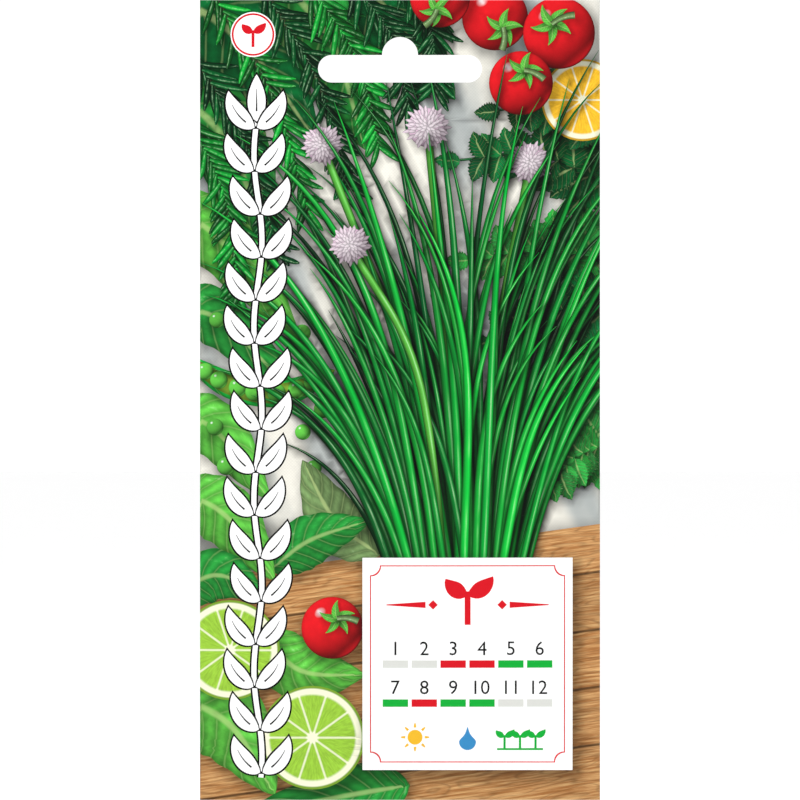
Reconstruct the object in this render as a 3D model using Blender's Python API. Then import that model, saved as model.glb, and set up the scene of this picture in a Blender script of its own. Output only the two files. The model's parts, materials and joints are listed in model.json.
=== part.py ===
"""Seed packet that hangs by a display slot, with the seeds it holds.

Metres, +Z up. The front panel faces -Y. The origin is the highest point of the slot, where a shop peg
carries the packet. Run it with blender --background --python part.py, or from Blender's text editor.
"""

import math
import random

import bmesh
import bpy

# Driving sizes of the packet
WIDTH = 0.080
HEIGHT = 0.160
PAPER = 0.0003
HEADER_HEIGHT = 0.024
BOTTOM_SEAL_HEIGHT = 0.009
POUCH_DEPTH = 0.0021
FULLEST_POWER = 0.62

# Display slot: a round-ended slot with a half-round bump in the middle of its upper side
SLOT_WIDTH = 0.0328
SLOT_HEIGHT = 0.0055
BUMP_RADIUS = 0.0036
SLOT_TOP_BELOW_EDGE = 0.0110
SLOT_ARC_STEPS = 16

# Lap seam down the back: the right half of the web lies over the left half
LAP_HALF_WIDTH = 0.0040
LAP_RAMP = 0.0040
LAP_GAP = 0.0003
LAP_EDGE = 0.00005
LAP_FADE = 0.0050

# Places that follow from the sizes above
TOP = SLOT_TOP_BELOW_EDGE - BUMP_RADIUS
BOTTOM = TOP - HEIGHT
POUCH_TOP = TOP - HEADER_HEIGHT
POUCH_BOTTOM = BOTTOM + BOTTOM_SEAL_HEIGHT
POUCH_HEIGHT = POUCH_TOP - POUCH_BOTTOM
SLOT_TOP = TOP - SLOT_TOP_BELOW_EDGE
SLOT_MIDDLE = SLOT_TOP - SLOT_HEIGHT / 2
SIDE_FOLD = 0.0006

# Seed heap
SEED_LENGTH = 0.0029
SEED_WIDTH = 0.0017
SEED_THICKNESS = 0.0013
SEED_SPACING = 0.0031
SEED_SINK = 0.00028
HEAP_HALF_WIDTH = 0.0285
HEAP_HEIGHT = 0.036
HEAP_CLEARANCE = 0.0003
HEAP_MIN_HALF = 0.00025
HEAP_SEED = 7

COATED_PAPER = (0.12, 0.42, 0.14, 1.0)
SEED_BLACK = (0.022, 0.020, 0.019, 1.0)


def clear_scene():
    """Removes every object, so that a new model starts from nothing."""
    for obj in list(bpy.data.objects):
        bpy.data.objects.remove(obj, do_unlink=True)


def new_material(name, colour, roughness):
    """A Principled material of one colour."""
    material = bpy.data.materials.new(name)
    material.use_nodes = True
    shader = material.node_tree.nodes["Principled BSDF"]
    shader.inputs["Base Color"].default_value = colour
    shader.inputs["Roughness"].default_value = roughness
    shader.inputs["Metallic"].default_value = 0.0
    return material


def smoothstep(low, high, value):
    """Goes from 0 at low to 1 at high, level at both ends."""
    t = min(max((value - low) / (high - low), 0.0), 1.0)
    return t * t * (3 - 2 * t)


def pouch_depth(x, z):
    """How far the front or the back panel stands off the packet's middle plane.

    It is zero along the side folds and the seals, and greatest low down, where the seeds lie.
    """
    across = 1 - (2 * x / WIDTH) ** 2
    up = (z - POUCH_BOTTOM) / POUCH_HEIGHT
    if across <= 0 or not 0 < up < 1:
        return 0.0
    return POUCH_DEPTH * across * math.sin(math.pi * up**FULLEST_POWER)


def lap_gap(z):
    """The gap between the two flaps: open along the pouch, closed where the web is sealed."""
    return LAP_GAP * smoothstep(POUCH_BOTTOM, POUCH_BOTTOM + LAP_FADE, z) * smoothstep(
        POUCH_TOP, POUCH_TOP - LAP_FADE, z
    )


def lap_lift(x, z):
    """How far the upper flap rides above the back panel, at its free edge and down its ramp."""
    ramp = 1 - smoothstep(LAP_HALF_WIDTH, LAP_HALF_WIDTH + LAP_RAMP, x)
    edge = 1.0 if x > -LAP_HALF_WIDTH else 0.0
    return (PAPER + lap_gap(z)) * ramp * edge


def steps(low, high, count):
    """count + 1 evenly spaced values from low to high."""
    return [low + (high - low) * i / count for i in range(count + 1)]


def column_places(half_width):
    """Places across the packet, close together at the lap's two edges and on its ramp."""
    edge = LAP_HALF_WIDTH
    places = steps(-half_width, -edge - LAP_EDGE, 9)
    places += steps(-edge + LAP_EDGE, edge - LAP_EDGE, 3)
    places += steps(edge + LAP_EDGE, edge + LAP_RAMP, 4)
    places += steps(edge + LAP_RAMP, half_width, 9)[1:]
    return places


def row_places(low, high):
    """Places up the pouch, closer together near its ends, where it curves most."""
    middle = (low + high) / 2
    reach = (high - low) / 2
    return [middle - reach * math.cos(math.pi * i / 26) for i in range(27)]


def closed_sheet(name, columns, rows, front_of, back_of):
    """A closed solid between two height fields over the same grid of columns and rows."""
    mesh = bmesh.new()
    sides = []
    for height_of in (front_of, back_of):
        sides.append([[mesh.verts.new((x, height_of(x, z), z)) for x in columns] for z in rows])
    front, back = sides
    last_row, last_column = len(rows) - 1, len(columns) - 1
    for j in range(last_row):
        for i in range(last_column):
            mesh.faces.new((front[j][i], front[j][i + 1], front[j + 1][i + 1], front[j + 1][i]))
            mesh.faces.new((back[j][i + 1], back[j][i], back[j + 1][i], back[j + 1][i + 1]))
    for j in range(last_row):
        mesh.faces.new((front[j + 1][0], back[j + 1][0], back[j][0], front[j][0]))
        mesh.faces.new(
            (front[j][last_column], back[j][last_column], back[j + 1][last_column], front[j + 1][last_column])
        )
    for i in range(last_column):
        mesh.faces.new((front[0][i + 1], front[0][i], back[0][i], back[0][i + 1]))
        mesh.faces.new((front[last_row][i], front[last_row][i + 1], back[last_row][i + 1], back[last_row][i]))
    bmesh.ops.triangulate(mesh, faces=mesh.faces)
    return finish_mesh(name, mesh)


def finish_mesh(name, mesh):
    """Turns a bmesh into an object that is linked to the scene."""
    bmesh.ops.recalc_face_normals(mesh, faces=mesh.faces)
    data = bpy.data.meshes.new(name)
    mesh.to_mesh(data)
    mesh.free()
    obj = bpy.data.objects.new(name, data)
    bpy.context.scene.collection.objects.link(obj)
    return obj


def packet_solid():
    """The sealed web as one solid slab: flat seals, swollen pouch and the raised lap on its back."""
    rows = [BOTTOM, *row_places(POUCH_BOTTOM, POUCH_TOP), POUCH_TOP + 0.003, TOP]
    return closed_sheet(
        "packet",
        column_places(WIDTH / 2),
        rows,
        lambda x, z: -PAPER - pouch_depth(x, z),
        lambda x, z: PAPER + pouch_depth(x, z) + lap_lift(x, z),
    )


def pouch_hollow():
    """The room inside: it reaches the outer flap where the inner flap ends."""
    beyond_inner_flap = LAP_HALF_WIDTH

    def back_of(x, z):
        lift = lap_lift(x, z) if x > beyond_inner_flap else 0.0
        return max(pouch_depth(x, z) + lift, PAPER / 8)

    return closed_sheet(
        "pouch_hollow",
        column_places(WIDTH / 2 - SIDE_FOLD),
        row_places(POUCH_BOTTOM + PAPER, POUCH_TOP - PAPER),
        lambda x, z: -max(pouch_depth(x, z), PAPER / 8),
        back_of,
    )


def lap_slit():
    """The thin room between the two flaps, open to the outside and to the pouch."""
    reach = LAP_HALF_WIDTH + 4 * LAP_EDGE
    return closed_sheet(
        "lap_slit",
        steps(-reach, reach, 6),
        row_places(POUCH_BOTTOM + LAP_FADE, POUCH_TOP - LAP_FADE),
        lambda x, z: PAPER + pouch_depth(x, z),
        lambda x, z: PAPER + pouch_depth(x, z) + LAP_GAP,
    )


def arc(centre_x, centre_z, radius, start, end):
    """Points on an arc from start to end, in degrees, counted from +X towards +Z."""
    angles = [math.radians(a) for a in steps(start, end, SLOT_ARC_STEPS)]
    return [(centre_x + radius * math.cos(a), centre_z + radius * math.sin(a)) for a in angles]


def slot_outline():
    """The slot's outline, anticlockwise as seen from the front."""
    end_radius = SLOT_HEIGHT / 2
    end_centre = SLOT_WIDTH / 2 - end_radius
    outline = arc(end_centre, SLOT_MIDDLE, end_radius, -90, 90)
    outline += arc(0, SLOT_TOP, BUMP_RADIUS, 0, 180)
    outline += arc(-end_centre, SLOT_MIDDLE, end_radius, 90, 270)
    return outline


def slot_cutter():
    """A straight prism of the slot's outline, longer than the header is thick."""
    mesh = bmesh.new()
    reach = 10 * PAPER
    corners = [mesh.verts.new((x, -reach, z)) for x, z in slot_outline()]
    face = mesh.faces.new(corners)
    made = bmesh.ops.extrude_face_region(mesh, geom=[face])
    moved = [v for v in made["geom"] if isinstance(v, bmesh.types.BMVert)]
    bmesh.ops.translate(mesh, verts=moved, vec=(0, 2 * reach, 0))
    return finish_mesh("slot_cutter", mesh)


def cut(obj, cutter):
    """Subtracts the cutter by a modifier that stays on the object, and hides the cutter."""
    cutter.hide_render = True
    cutter.display_type = "WIRE"
    boolean = obj.modifiers.new(cutter.name, "BOOLEAN")
    boolean.operation = "DIFFERENCE"
    boolean.solver = "EXACT"
    boolean.object = cutter


def make_packet():
    """The packet: one web of coated paper, hollow in the pouch and punched through in the header."""
    packet = packet_solid()
    for cutter in (pouch_hollow(), lap_slit(), slot_cutter()):
        cut(packet, cutter)
    packet.data.materials.append(new_material("coated_paper", COATED_PAPER, 0.28))
    return packet


def heap_top(x):
    """Height of the heap's upper edge at x: highest in the middle, with a few soft dips."""
    across = x / HEAP_HALF_WIDTH
    return POUCH_BOTTOM + HEAP_HEIGHT * (0.52 + 0.48 * math.sqrt(max(1 - across**2, 0))) * (
        1 + 0.05 * math.sin(9 * across + 0.6)
    )


def heap_bottom(x):
    """Height of the heap's lower edge at x, which rises where the pouch gets too thin for seeds."""
    across = x / HEAP_HALF_WIDTH
    return POUCH_BOTTOM + 0.0035 + 0.006 * across**4


def heap_half(x, z):
    """Half the thickness of the heap's smaller core, which the seeds stand out of."""
    room = pouch_depth(x, z) - HEAP_CLEARANCE - SEED_THICKNESS / 2 - SEED_SINK
    return max(room, HEAP_MIN_HALF)


def heap_core():
    """The heap's core: a thin lens inside the pouch, between the heap's two edges."""
    columns = steps(-HEAP_HALF_WIDTH, HEAP_HALF_WIDTH, 16)
    mesh = bmesh.new()
    rings = []
    for sign in (-1, 1):
        ring = []
        for x in columns:
            low, high = heap_bottom(x) + SEED_WIDTH / 2, heap_top(x) - SEED_WIDTH
            ring.append([mesh.verts.new((x, sign * heap_half(x, z), z)) for z in steps(low, high, 10)])
        rings.append(ring)
    front, back = rings
    last_column, last_row = len(columns) - 1, 10
    for i in range(last_column):
        for j in range(last_row):
            mesh.faces.new((front[i][j], front[i + 1][j], front[i + 1][j + 1], front[i][j + 1]))
            mesh.faces.new((back[i + 1][j], back[i][j], back[i][j + 1], back[i + 1][j + 1]))
        mesh.faces.new((front[i][0], back[i][0], back[i + 1][0], front[i + 1][0]))
        mesh.faces.new(
            (front[i][last_row], front[i + 1][last_row], back[i + 1][last_row], back[i][last_row])
        )
    for j in range(last_row):
        mesh.faces.new((front[0][j], front[0][j + 1], back[0][j + 1], back[0][j]))
        mesh.faces.new(
            (front[last_column][j], back[last_column][j], back[last_column][j + 1], front[last_column][j + 1])
        )
    bmesh.ops.triangulate(mesh, faces=mesh.faces)
    return finish_mesh("seeds", mesh)


def seed_mesh():
    """One seed: an angular grain with a pointed tip, a blunt end and a ridge on its back."""
    mesh = bmesh.new()
    half_length, half_width, half_thick = SEED_LENGTH / 2, SEED_WIDTH / 2, SEED_THICKNESS / 2
    ring = [
        (-0.15 * half_length, 0, half_width),
        (0.05 * half_length, -half_thick, 0),
        (-0.15 * half_length, 0, -half_width),
        (0.10 * half_length, half_thick, 0),
    ]
    waist = [mesh.verts.new(point) for point in ring]
    tip = mesh.verts.new((half_length, 0, 0))
    blunt = mesh.verts.new((-0.85 * half_length, 0, 0))
    for i in range(4):
        mesh.faces.new((waist[i], waist[(i + 1) % 4], tip))
        mesh.faces.new((waist[(i + 1) % 4], waist[i], blunt))
    bmesh.ops.recalc_face_normals(mesh, faces=mesh.faces)
    data = bpy.data.meshes.new("seed")
    mesh.to_mesh(data)
    mesh.free()
    return data


def seed_places(rng):
    """Where each seed sits: a jittered grid over both faces of the heap, as (x, y, z)."""
    places = []
    across = int(2 * HEAP_HALF_WIDTH / SEED_SPACING)
    for sign in (-1, 1):
        for i in range(across + 1):
            x = -HEAP_HALF_WIDTH + (i + rng.uniform(-0.3, 0.3)) * SEED_SPACING
            x = min(max(x, -HEAP_HALF_WIDTH + SEED_WIDTH / 2), HEAP_HALF_WIDTH - SEED_WIDTH / 2)
            low, high = heap_bottom(x) + SEED_WIDTH, heap_top(x) - SEED_WIDTH
            z = low + rng.uniform(0, 0.6) * SEED_SPACING
            while z < high:
                if pouch_depth(x, z) > HEAP_CLEARANCE + SEED_THICKNESS / 2:
                    places.append((x, sign * (heap_half(x, z) + SEED_SINK / 4), z))
                z += SEED_SPACING * rng.uniform(0.85, 1.15)
    return places


def make_seeds():
    """The seed fill: grains joined to the core by one union, so that the heap is one solid."""
    rng = random.Random(HEAP_SEED)
    seeds = heap_core()
    grains = bpy.data.collections.new("grains")
    bpy.context.scene.collection.children.link(grains)
    shared = seed_mesh()
    for x, y, z in seed_places(rng):
        grain = bpy.data.objects.new("grain", shared)
        grain.location = (x, y, z)
        grain.rotation_euler = (0.0, rng.uniform(0, 2 * math.pi), 0.0)
        grains.objects.link(grain)
    union = seeds.modifiers.new("grains", "BOOLEAN")
    union.operation = "UNION"
    union.solver = "MANIFOLD"
    union.operand_type = "COLLECTION"
    union.collection = grains
    bpy.context.view_layer.update()
    joined = seeds.evaluated_get(bpy.context.evaluated_depsgraph_get())
    seeds_mesh = bpy.data.meshes.new_from_object(joined)
    seeds.modifiers.clear()
    seeds.data = seeds_mesh
    for grain in list(grains.objects):
        bpy.data.objects.remove(grain, do_unlink=True)
    bpy.data.collections.remove(grains)
    seeds.data.materials.append(new_material("seed_coat", SEED_BLACK, 0.55))
    return seeds


def main():
    """Builds the packet and its seeds."""
    clear_scene()
    make_packet()
    make_seeds()


main()
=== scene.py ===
"""Looks of a hanging seed packet: a web of coated paper, folded, lapped and sealed, with its print.

The print is one planar drawing. Every printed motif is an outline with an ink and a chart of local
coordinates. All outlines of a sheet are triangulated together, so that the sheet is a single skin whose
faces carry the topmost ink, and the drawing is as sharp as its outlines from any distance.

Drawing coordinates are millimetres from a sheet's lower left corner as it is looked at. World coordinates
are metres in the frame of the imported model.
"""

from __future__ import annotations

import itertools
import json
import logging
from dataclasses import dataclass, field
from enum import Enum
from typing import Callable, Sequence

import bpy
import numpy as np
from mathutils import Matrix, Vector
from mathutils.geometry import delaunay_2d_cdt

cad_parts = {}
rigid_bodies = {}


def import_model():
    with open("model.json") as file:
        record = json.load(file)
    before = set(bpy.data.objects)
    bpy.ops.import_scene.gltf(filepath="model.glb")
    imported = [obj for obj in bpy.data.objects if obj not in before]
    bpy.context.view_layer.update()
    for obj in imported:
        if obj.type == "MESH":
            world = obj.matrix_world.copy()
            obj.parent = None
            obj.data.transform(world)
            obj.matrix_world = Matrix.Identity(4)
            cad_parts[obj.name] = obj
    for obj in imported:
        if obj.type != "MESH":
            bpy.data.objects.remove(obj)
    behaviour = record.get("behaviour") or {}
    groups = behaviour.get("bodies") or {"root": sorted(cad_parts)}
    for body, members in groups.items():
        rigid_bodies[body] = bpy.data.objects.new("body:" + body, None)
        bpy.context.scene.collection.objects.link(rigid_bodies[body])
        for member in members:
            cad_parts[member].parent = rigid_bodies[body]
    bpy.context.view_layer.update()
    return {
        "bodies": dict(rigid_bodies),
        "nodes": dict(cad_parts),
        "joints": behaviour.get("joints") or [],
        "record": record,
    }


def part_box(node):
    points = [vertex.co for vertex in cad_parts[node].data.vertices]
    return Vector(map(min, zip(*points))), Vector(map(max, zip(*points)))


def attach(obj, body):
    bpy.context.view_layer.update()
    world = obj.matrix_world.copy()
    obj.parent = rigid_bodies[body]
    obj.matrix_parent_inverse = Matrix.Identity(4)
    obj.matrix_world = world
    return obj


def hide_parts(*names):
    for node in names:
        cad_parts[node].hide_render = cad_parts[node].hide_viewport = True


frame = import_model()

Array = np.ndarray
Colour = tuple[float, float, float]
LOG = logging.getLogger("seed_packet")

MM = 0.001
TAU = 2 * np.pi
GOLDEN_ANGLE = 2.39996

# How far a print's ground runs past the edges of its sheet, in millimetres
BLEED = 2.0

# The calendars of both sides
MONTHS = range(1, 13)
SOW_MONTHS = (3, 4, 8)
CUT_MONTHS = (5, 6, 7, 9, 10)

# The shader's usual level is 0.5, but a gloss above this one veils the print with the white surround
SPECULAR_LEVEL = 0.12

# Colours of the print, as screen values from 0 to 255
BRIGHT_GREEN = (18, 172, 58)
LIGHT_GREEN = (90, 182, 66)
DEEP_GREEN = (3, 94, 42)
HERB_GREEN = (36, 140, 54)
GREY_GREEN = (112, 142, 88)
YELLOW_GREEN = (150, 196, 62)
TOMATO_RED = (206, 22, 30)
SIGNAL_RED = (214, 20, 34)
LEMON = (240, 186, 46)
BLOSSOM = (238, 226, 232)
BLOSSOM_SHADE = (206, 176, 196)
LINEN = (234, 231, 220)
TABLE = (202, 160, 108)
BACK_STOCK = (233, 240, 222)
SOIL = (104, 74, 50)
CLAY = (190, 98, 60)
WATER_BLUE = (58, 140, 196)
CALENDAR_GREY = (216, 217, 212)
WHITE = (255, 255, 255)
BLACK = (6, 6, 6)
GREY = (96, 98, 96)

# Second colours of the inks, beside the tint of each motif
BLADE_GLINT = (184, 222, 178)
LEAF_VEIN = (206, 226, 150)
LEAF_GLINT = (205, 232, 190)
CITRUS_PITH = (244, 244, 214)
LINEN_SHADE = (200, 206, 204)
TABLE_SHADE = (168, 112, 62)
PAPER_WHITE = (244, 243, 238)


def linear(colour: Sequence[float]) -> Colour:
    """Three linear values from 0 to 1 for a screen colour from 0 to 255, by the standard screen curve."""
    c = np.asarray(colour, float) / 255
    return tuple(np.where(c <= 0.04045, c / 12.92, ((c + 0.055) / 1.055) ** 2.4))


def smooth(low: float, high: float, value: Array | float) -> Array:
    """A step from 0 at low to 1 at high that is level at both ends: t squared times 3 minus 2 t."""
    t = np.clip((np.asarray(value) - low) / (high - low), 0.0, 1.0)
    return t * t * (3 - 2 * t)


class Ink(Enum):
    """The inks and stocks that a face of the packet can have, in the order of its material slots."""

    FLAT = 0
    BLADE = 1
    LEAF = 2
    FRUIT = 3
    CITRUS = 4
    PETAL = 5
    LINEN = 6
    TABLE = 7
    STOCK = 8


# Outlines


def resample(points: Sequence[Sequence[float]], count: int) -> Array:
    """A smooth curve through a few points: a Catmull-Rom curve read at even steps of its parameter.

    Args:
        points: The points that the curve passes through.
        count: How many points to return.

    Returns:
        The curve's points, as an array of count rows.
    """
    p = np.asarray(points, float)
    p = np.vstack([2 * p[0] - p[1], p, 2 * p[-1] - p[-2]])
    u = np.linspace(0, len(p) - 3 - 1e-9, count)
    i = u.astype(int)
    t = (u - i)[:, None]
    a, b, c, d = p[i], p[i + 1], p[i + 2], p[i + 3]
    return 0.5 * (2 * b + (c - a) * t + (2 * a - 5 * b + 4 * c - d) * t**2 + (3 * b - a - 3 * c + d) * t**3)


def grown(base: Sequence[float], lean: Array, length: float) -> Array:
    """A spine from its base: the running sum of equal steps, each with its lean from straight up."""
    steps = np.stack([np.sin(lean), np.cos(lean)], 1) * length / len(lean)
    return np.vstack([base, np.asarray(base) + np.cumsum(steps, axis=0)])


def normals_of(spine: Array) -> Array:
    """Unit normals of a spine, to the left of its way: the turned difference of its neighbours."""
    way = np.gradient(spine, axis=0)
    way /= np.maximum(np.linalg.norm(way, axis=1, keepdims=True), 1e-9)
    return np.stack([-way[:, 1], way[:, 0]], 1)


def ribbon(spine: Array, half: Array) -> Array:
    """The outline of a band: the spine moved by its half width to the right, and back on the left."""
    side = normals_of(spine) * np.asarray(half)[:, None]
    return np.vstack([spine - side, (spine + side)[::-1]])


def ring(centre: Sequence[float], radius: float, count: int = 40) -> Array:
    """A closed curve round a centre: centre plus radius times (cos a, sin a), with a in even steps."""
    a = np.arange(count) * TAU / count
    return np.asarray(centre) + radius * np.stack([np.cos(a), np.sin(a)], 1)


def plate(left: float, low: float, right: float, high: float, notch: float = 0.0) -> Array:
    """A rectangle whose corners may be cut by concave quarter circles.

    Args:
        left: The left side.
        low: The lower side.
        right: The right side.
        high: The upper side.
        notch: The radius of the quarter circles, or 0 for plain corners.

    Returns:
        The outline's points, anticlockwise.
    """
    if notch <= 0:
        return np.array([[left, low], [right, low], [right, high], [left, high]])
    corners = ((right, low, 180, 90), (right, high, 270, 180), (left, high, 360, 270), (left, low, 90, 0))
    parts = []
    for x, y, start, end in corners:
        a = np.radians(np.linspace(start, end, 8))
        parts.append(np.array([x, y]) + notch * np.stack([np.cos(a), np.sin(a)], 1))
    return np.vstack(parts)


def split(outline: Array, longest: float) -> Array:
    """A closed outline whose sides are cut into even parts.

    Args:
        outline: The outline's points.
        longest: The greatest length that a part may have.

    Returns:
        The outline's points and the cuts between them.
    """
    sides = np.roll(outline, -1, axis=0) - outline
    parts = np.maximum(np.ceil(np.linalg.norm(sides, axis=1) / longest), 1).astype(int)
    first = np.cumsum(parts) - parts
    share = (np.arange(parts.sum()) - np.repeat(first, parts)) / np.repeat(parts, parts)
    return np.repeat(outline, parts, axis=0) + share[:, None] * np.repeat(sides, parts, axis=0)


def within(points: Array, outline: Array) -> Array:
    """Whether each point lies in a closed outline, also where the outline crosses itself.

    A ray to the right of a point inside is crossed by the outline upwards and downwards unequally often.

    Args:
        points: The points to test.
        outline: The outline's points.

    Returns:
        True for each point inside.
    """
    x, y = points[:, :1], points[:, 1:]
    (ax, ay), (bx, by) = outline.T, np.roll(outline, -1, axis=0).T
    side = (bx - ax) * (y - ay) - (x - ax) * (by - ay)
    rising = (ay <= y) & (by > y) & (side > 0)
    falling = (ay > y) & (by <= y) & (side < 0)
    return rising.sum(1) != falling.sum(1)


@dataclass(frozen=True)
class Spots:
    """Points in the order of their height, so that the ones in a box are found fast."""

    points: Array

    def in_box(self, low: Array, high: Array) -> Array:
        """The numbers of the points between two corners."""
        first, last = np.searchsorted(self.points[:, 1], (low[1], high[1]))
        across = self.points[first:last, 0]
        return first + np.flatnonzero((across > low[0]) & (across < high[0]))

    def in_outline(self, outline: Array) -> Array:
        """The numbers of the points inside a closed outline."""
        near = self.in_box(outline.min(0), outline.max(0))
        return near[within(self.points[near], outline)]


def nearest_on(points: Array, line: Array) -> tuple[Array, Array, Array]:
    """The nearest place on a line of straight pieces, for every point at once.

    Args:
        points: The points to measure from.
        line: The line's points.

    Returns:
        The distance, the place as piece number plus share of the piece, and the side: positive on the left.
    """
    start = line[:-1]
    way = line[1:] - start
    size = np.maximum((way**2).sum(1), 1e-12)
    off = points[:, None] - start[None]
    share = np.clip((off * way[None]).sum(2) / size, 0, 1)
    gap = off - share[:, :, None] * way[None]
    far = (gap**2).sum(2)
    best = far.argmin(1)
    rows = np.arange(len(points))
    side = np.sign(way[best, 0] * off[rows, best, 1] - way[best, 1] * off[rows, best, 0])
    return np.sqrt(far[rows, best]), best + share[rows, best], side


# Charts


@dataclass(frozen=True)
class FlatChart:
    """Local coordinates that are the drawing's own."""

    def local(self, points: Array) -> Array:
        """The points as they are."""
        return points


@dataclass(frozen=True)
class DiscChart:
    """Local coordinates in a disc: 0 at its centre, length 1 on its rim, turned with the disc."""

    centre: tuple[float, float]
    radius: float
    turn: float = 0.0

    def local(self, points: Array) -> Array:
        """The points less the centre, turned back and divided by the radius."""
        off = (points - np.asarray(self.centre)) / self.radius
        c, s = np.cos(self.turn), np.sin(self.turn)
        return np.stack([off[:, 0] * c + off[:, 1] * s, off[:, 1] * c - off[:, 0] * s], 1)


@dataclass(frozen=True)
class SpineChart:
    """Local coordinates along a band: across from -1 to 1 between its edges, and along from 0 to 1."""

    spine: Array
    half: Array

    def local(self, points: Array) -> Array:
        """Signed distance to the spine over the half width there, and the share of the spine passed.

        Args:
            points: The points in drawing coordinates.

        Returns:
            The two local coordinates of each point.
        """
        gap, place, side = nearest_on(points, self.spine)
        half = np.interp(place, np.arange(len(self.spine)), self.half)
        across = np.clip(side * gap / np.maximum(half, 1e-4), -1, 1)
        return np.stack([across, place / (len(self.spine) - 1)], 1)


@dataclass(frozen=True)
class Motif:
    """One printed shape: its outlines, its ink, its tint and how it shades what lies below it.

    The tone is a number of its own, by which an ink varies its pattern. The shade is how much of the
    light the motif takes at its edge, and the reach how far out, in millimetres, that fades to nothing.
    """

    outlines: tuple[Array, ...]
    ink: Ink
    tint: Sequence[float]
    chart: FlatChart | DiscChart | SpineChart = FlatChart()
    tone: float = 0.5
    shade: float = 0.0
    reach: float = 0.0


@dataclass
class Drawing:
    """A stack of motifs, from the lowest to the topmost."""

    motifs: list[Motif] = field(default_factory=list)
    thinnest: float = 0.03

    def flat(self, outline: Array, tint: Sequence[float], **more: float) -> None:
        """Adds a shape in plain ink."""
        self.motifs.append(Motif((outline,), Ink.FLAT, tint, **more))

    def band(self, spine: Array, half: Array, ink: Ink, tint: Sequence[float], **more: float) -> None:
        """Adds a band with a half width at each point of a spine, such as a blade, a leaf or a petal."""
        half = np.maximum(half, self.thinnest)
        self.motifs.append(Motif((ribbon(spine, half),), ink, tint, SpineChart(spine, half), **more))

    def disc(
        self, centre: Sequence[float], radius: float, ink: Ink, tint: Sequence[float], **more: float
    ) -> None:
        """Adds a round shape with a disc's local coordinates, turned by its tone.

        Args:
            centre: The disc's middle.
            radius: Its radius.
            ink: The ink that it is printed in.
            tint: Its colour.
            **more: The motif's tone, shade and reach.
        """
        tone = more.setdefault("tone", 0.0)
        chart = DiscChart((float(centre[0]), float(centre[1])), radius, tone * TAU)
        self.motifs.append(Motif((ring(centre, radius),), ink, tint, chart, **more))


# Motifs


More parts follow.
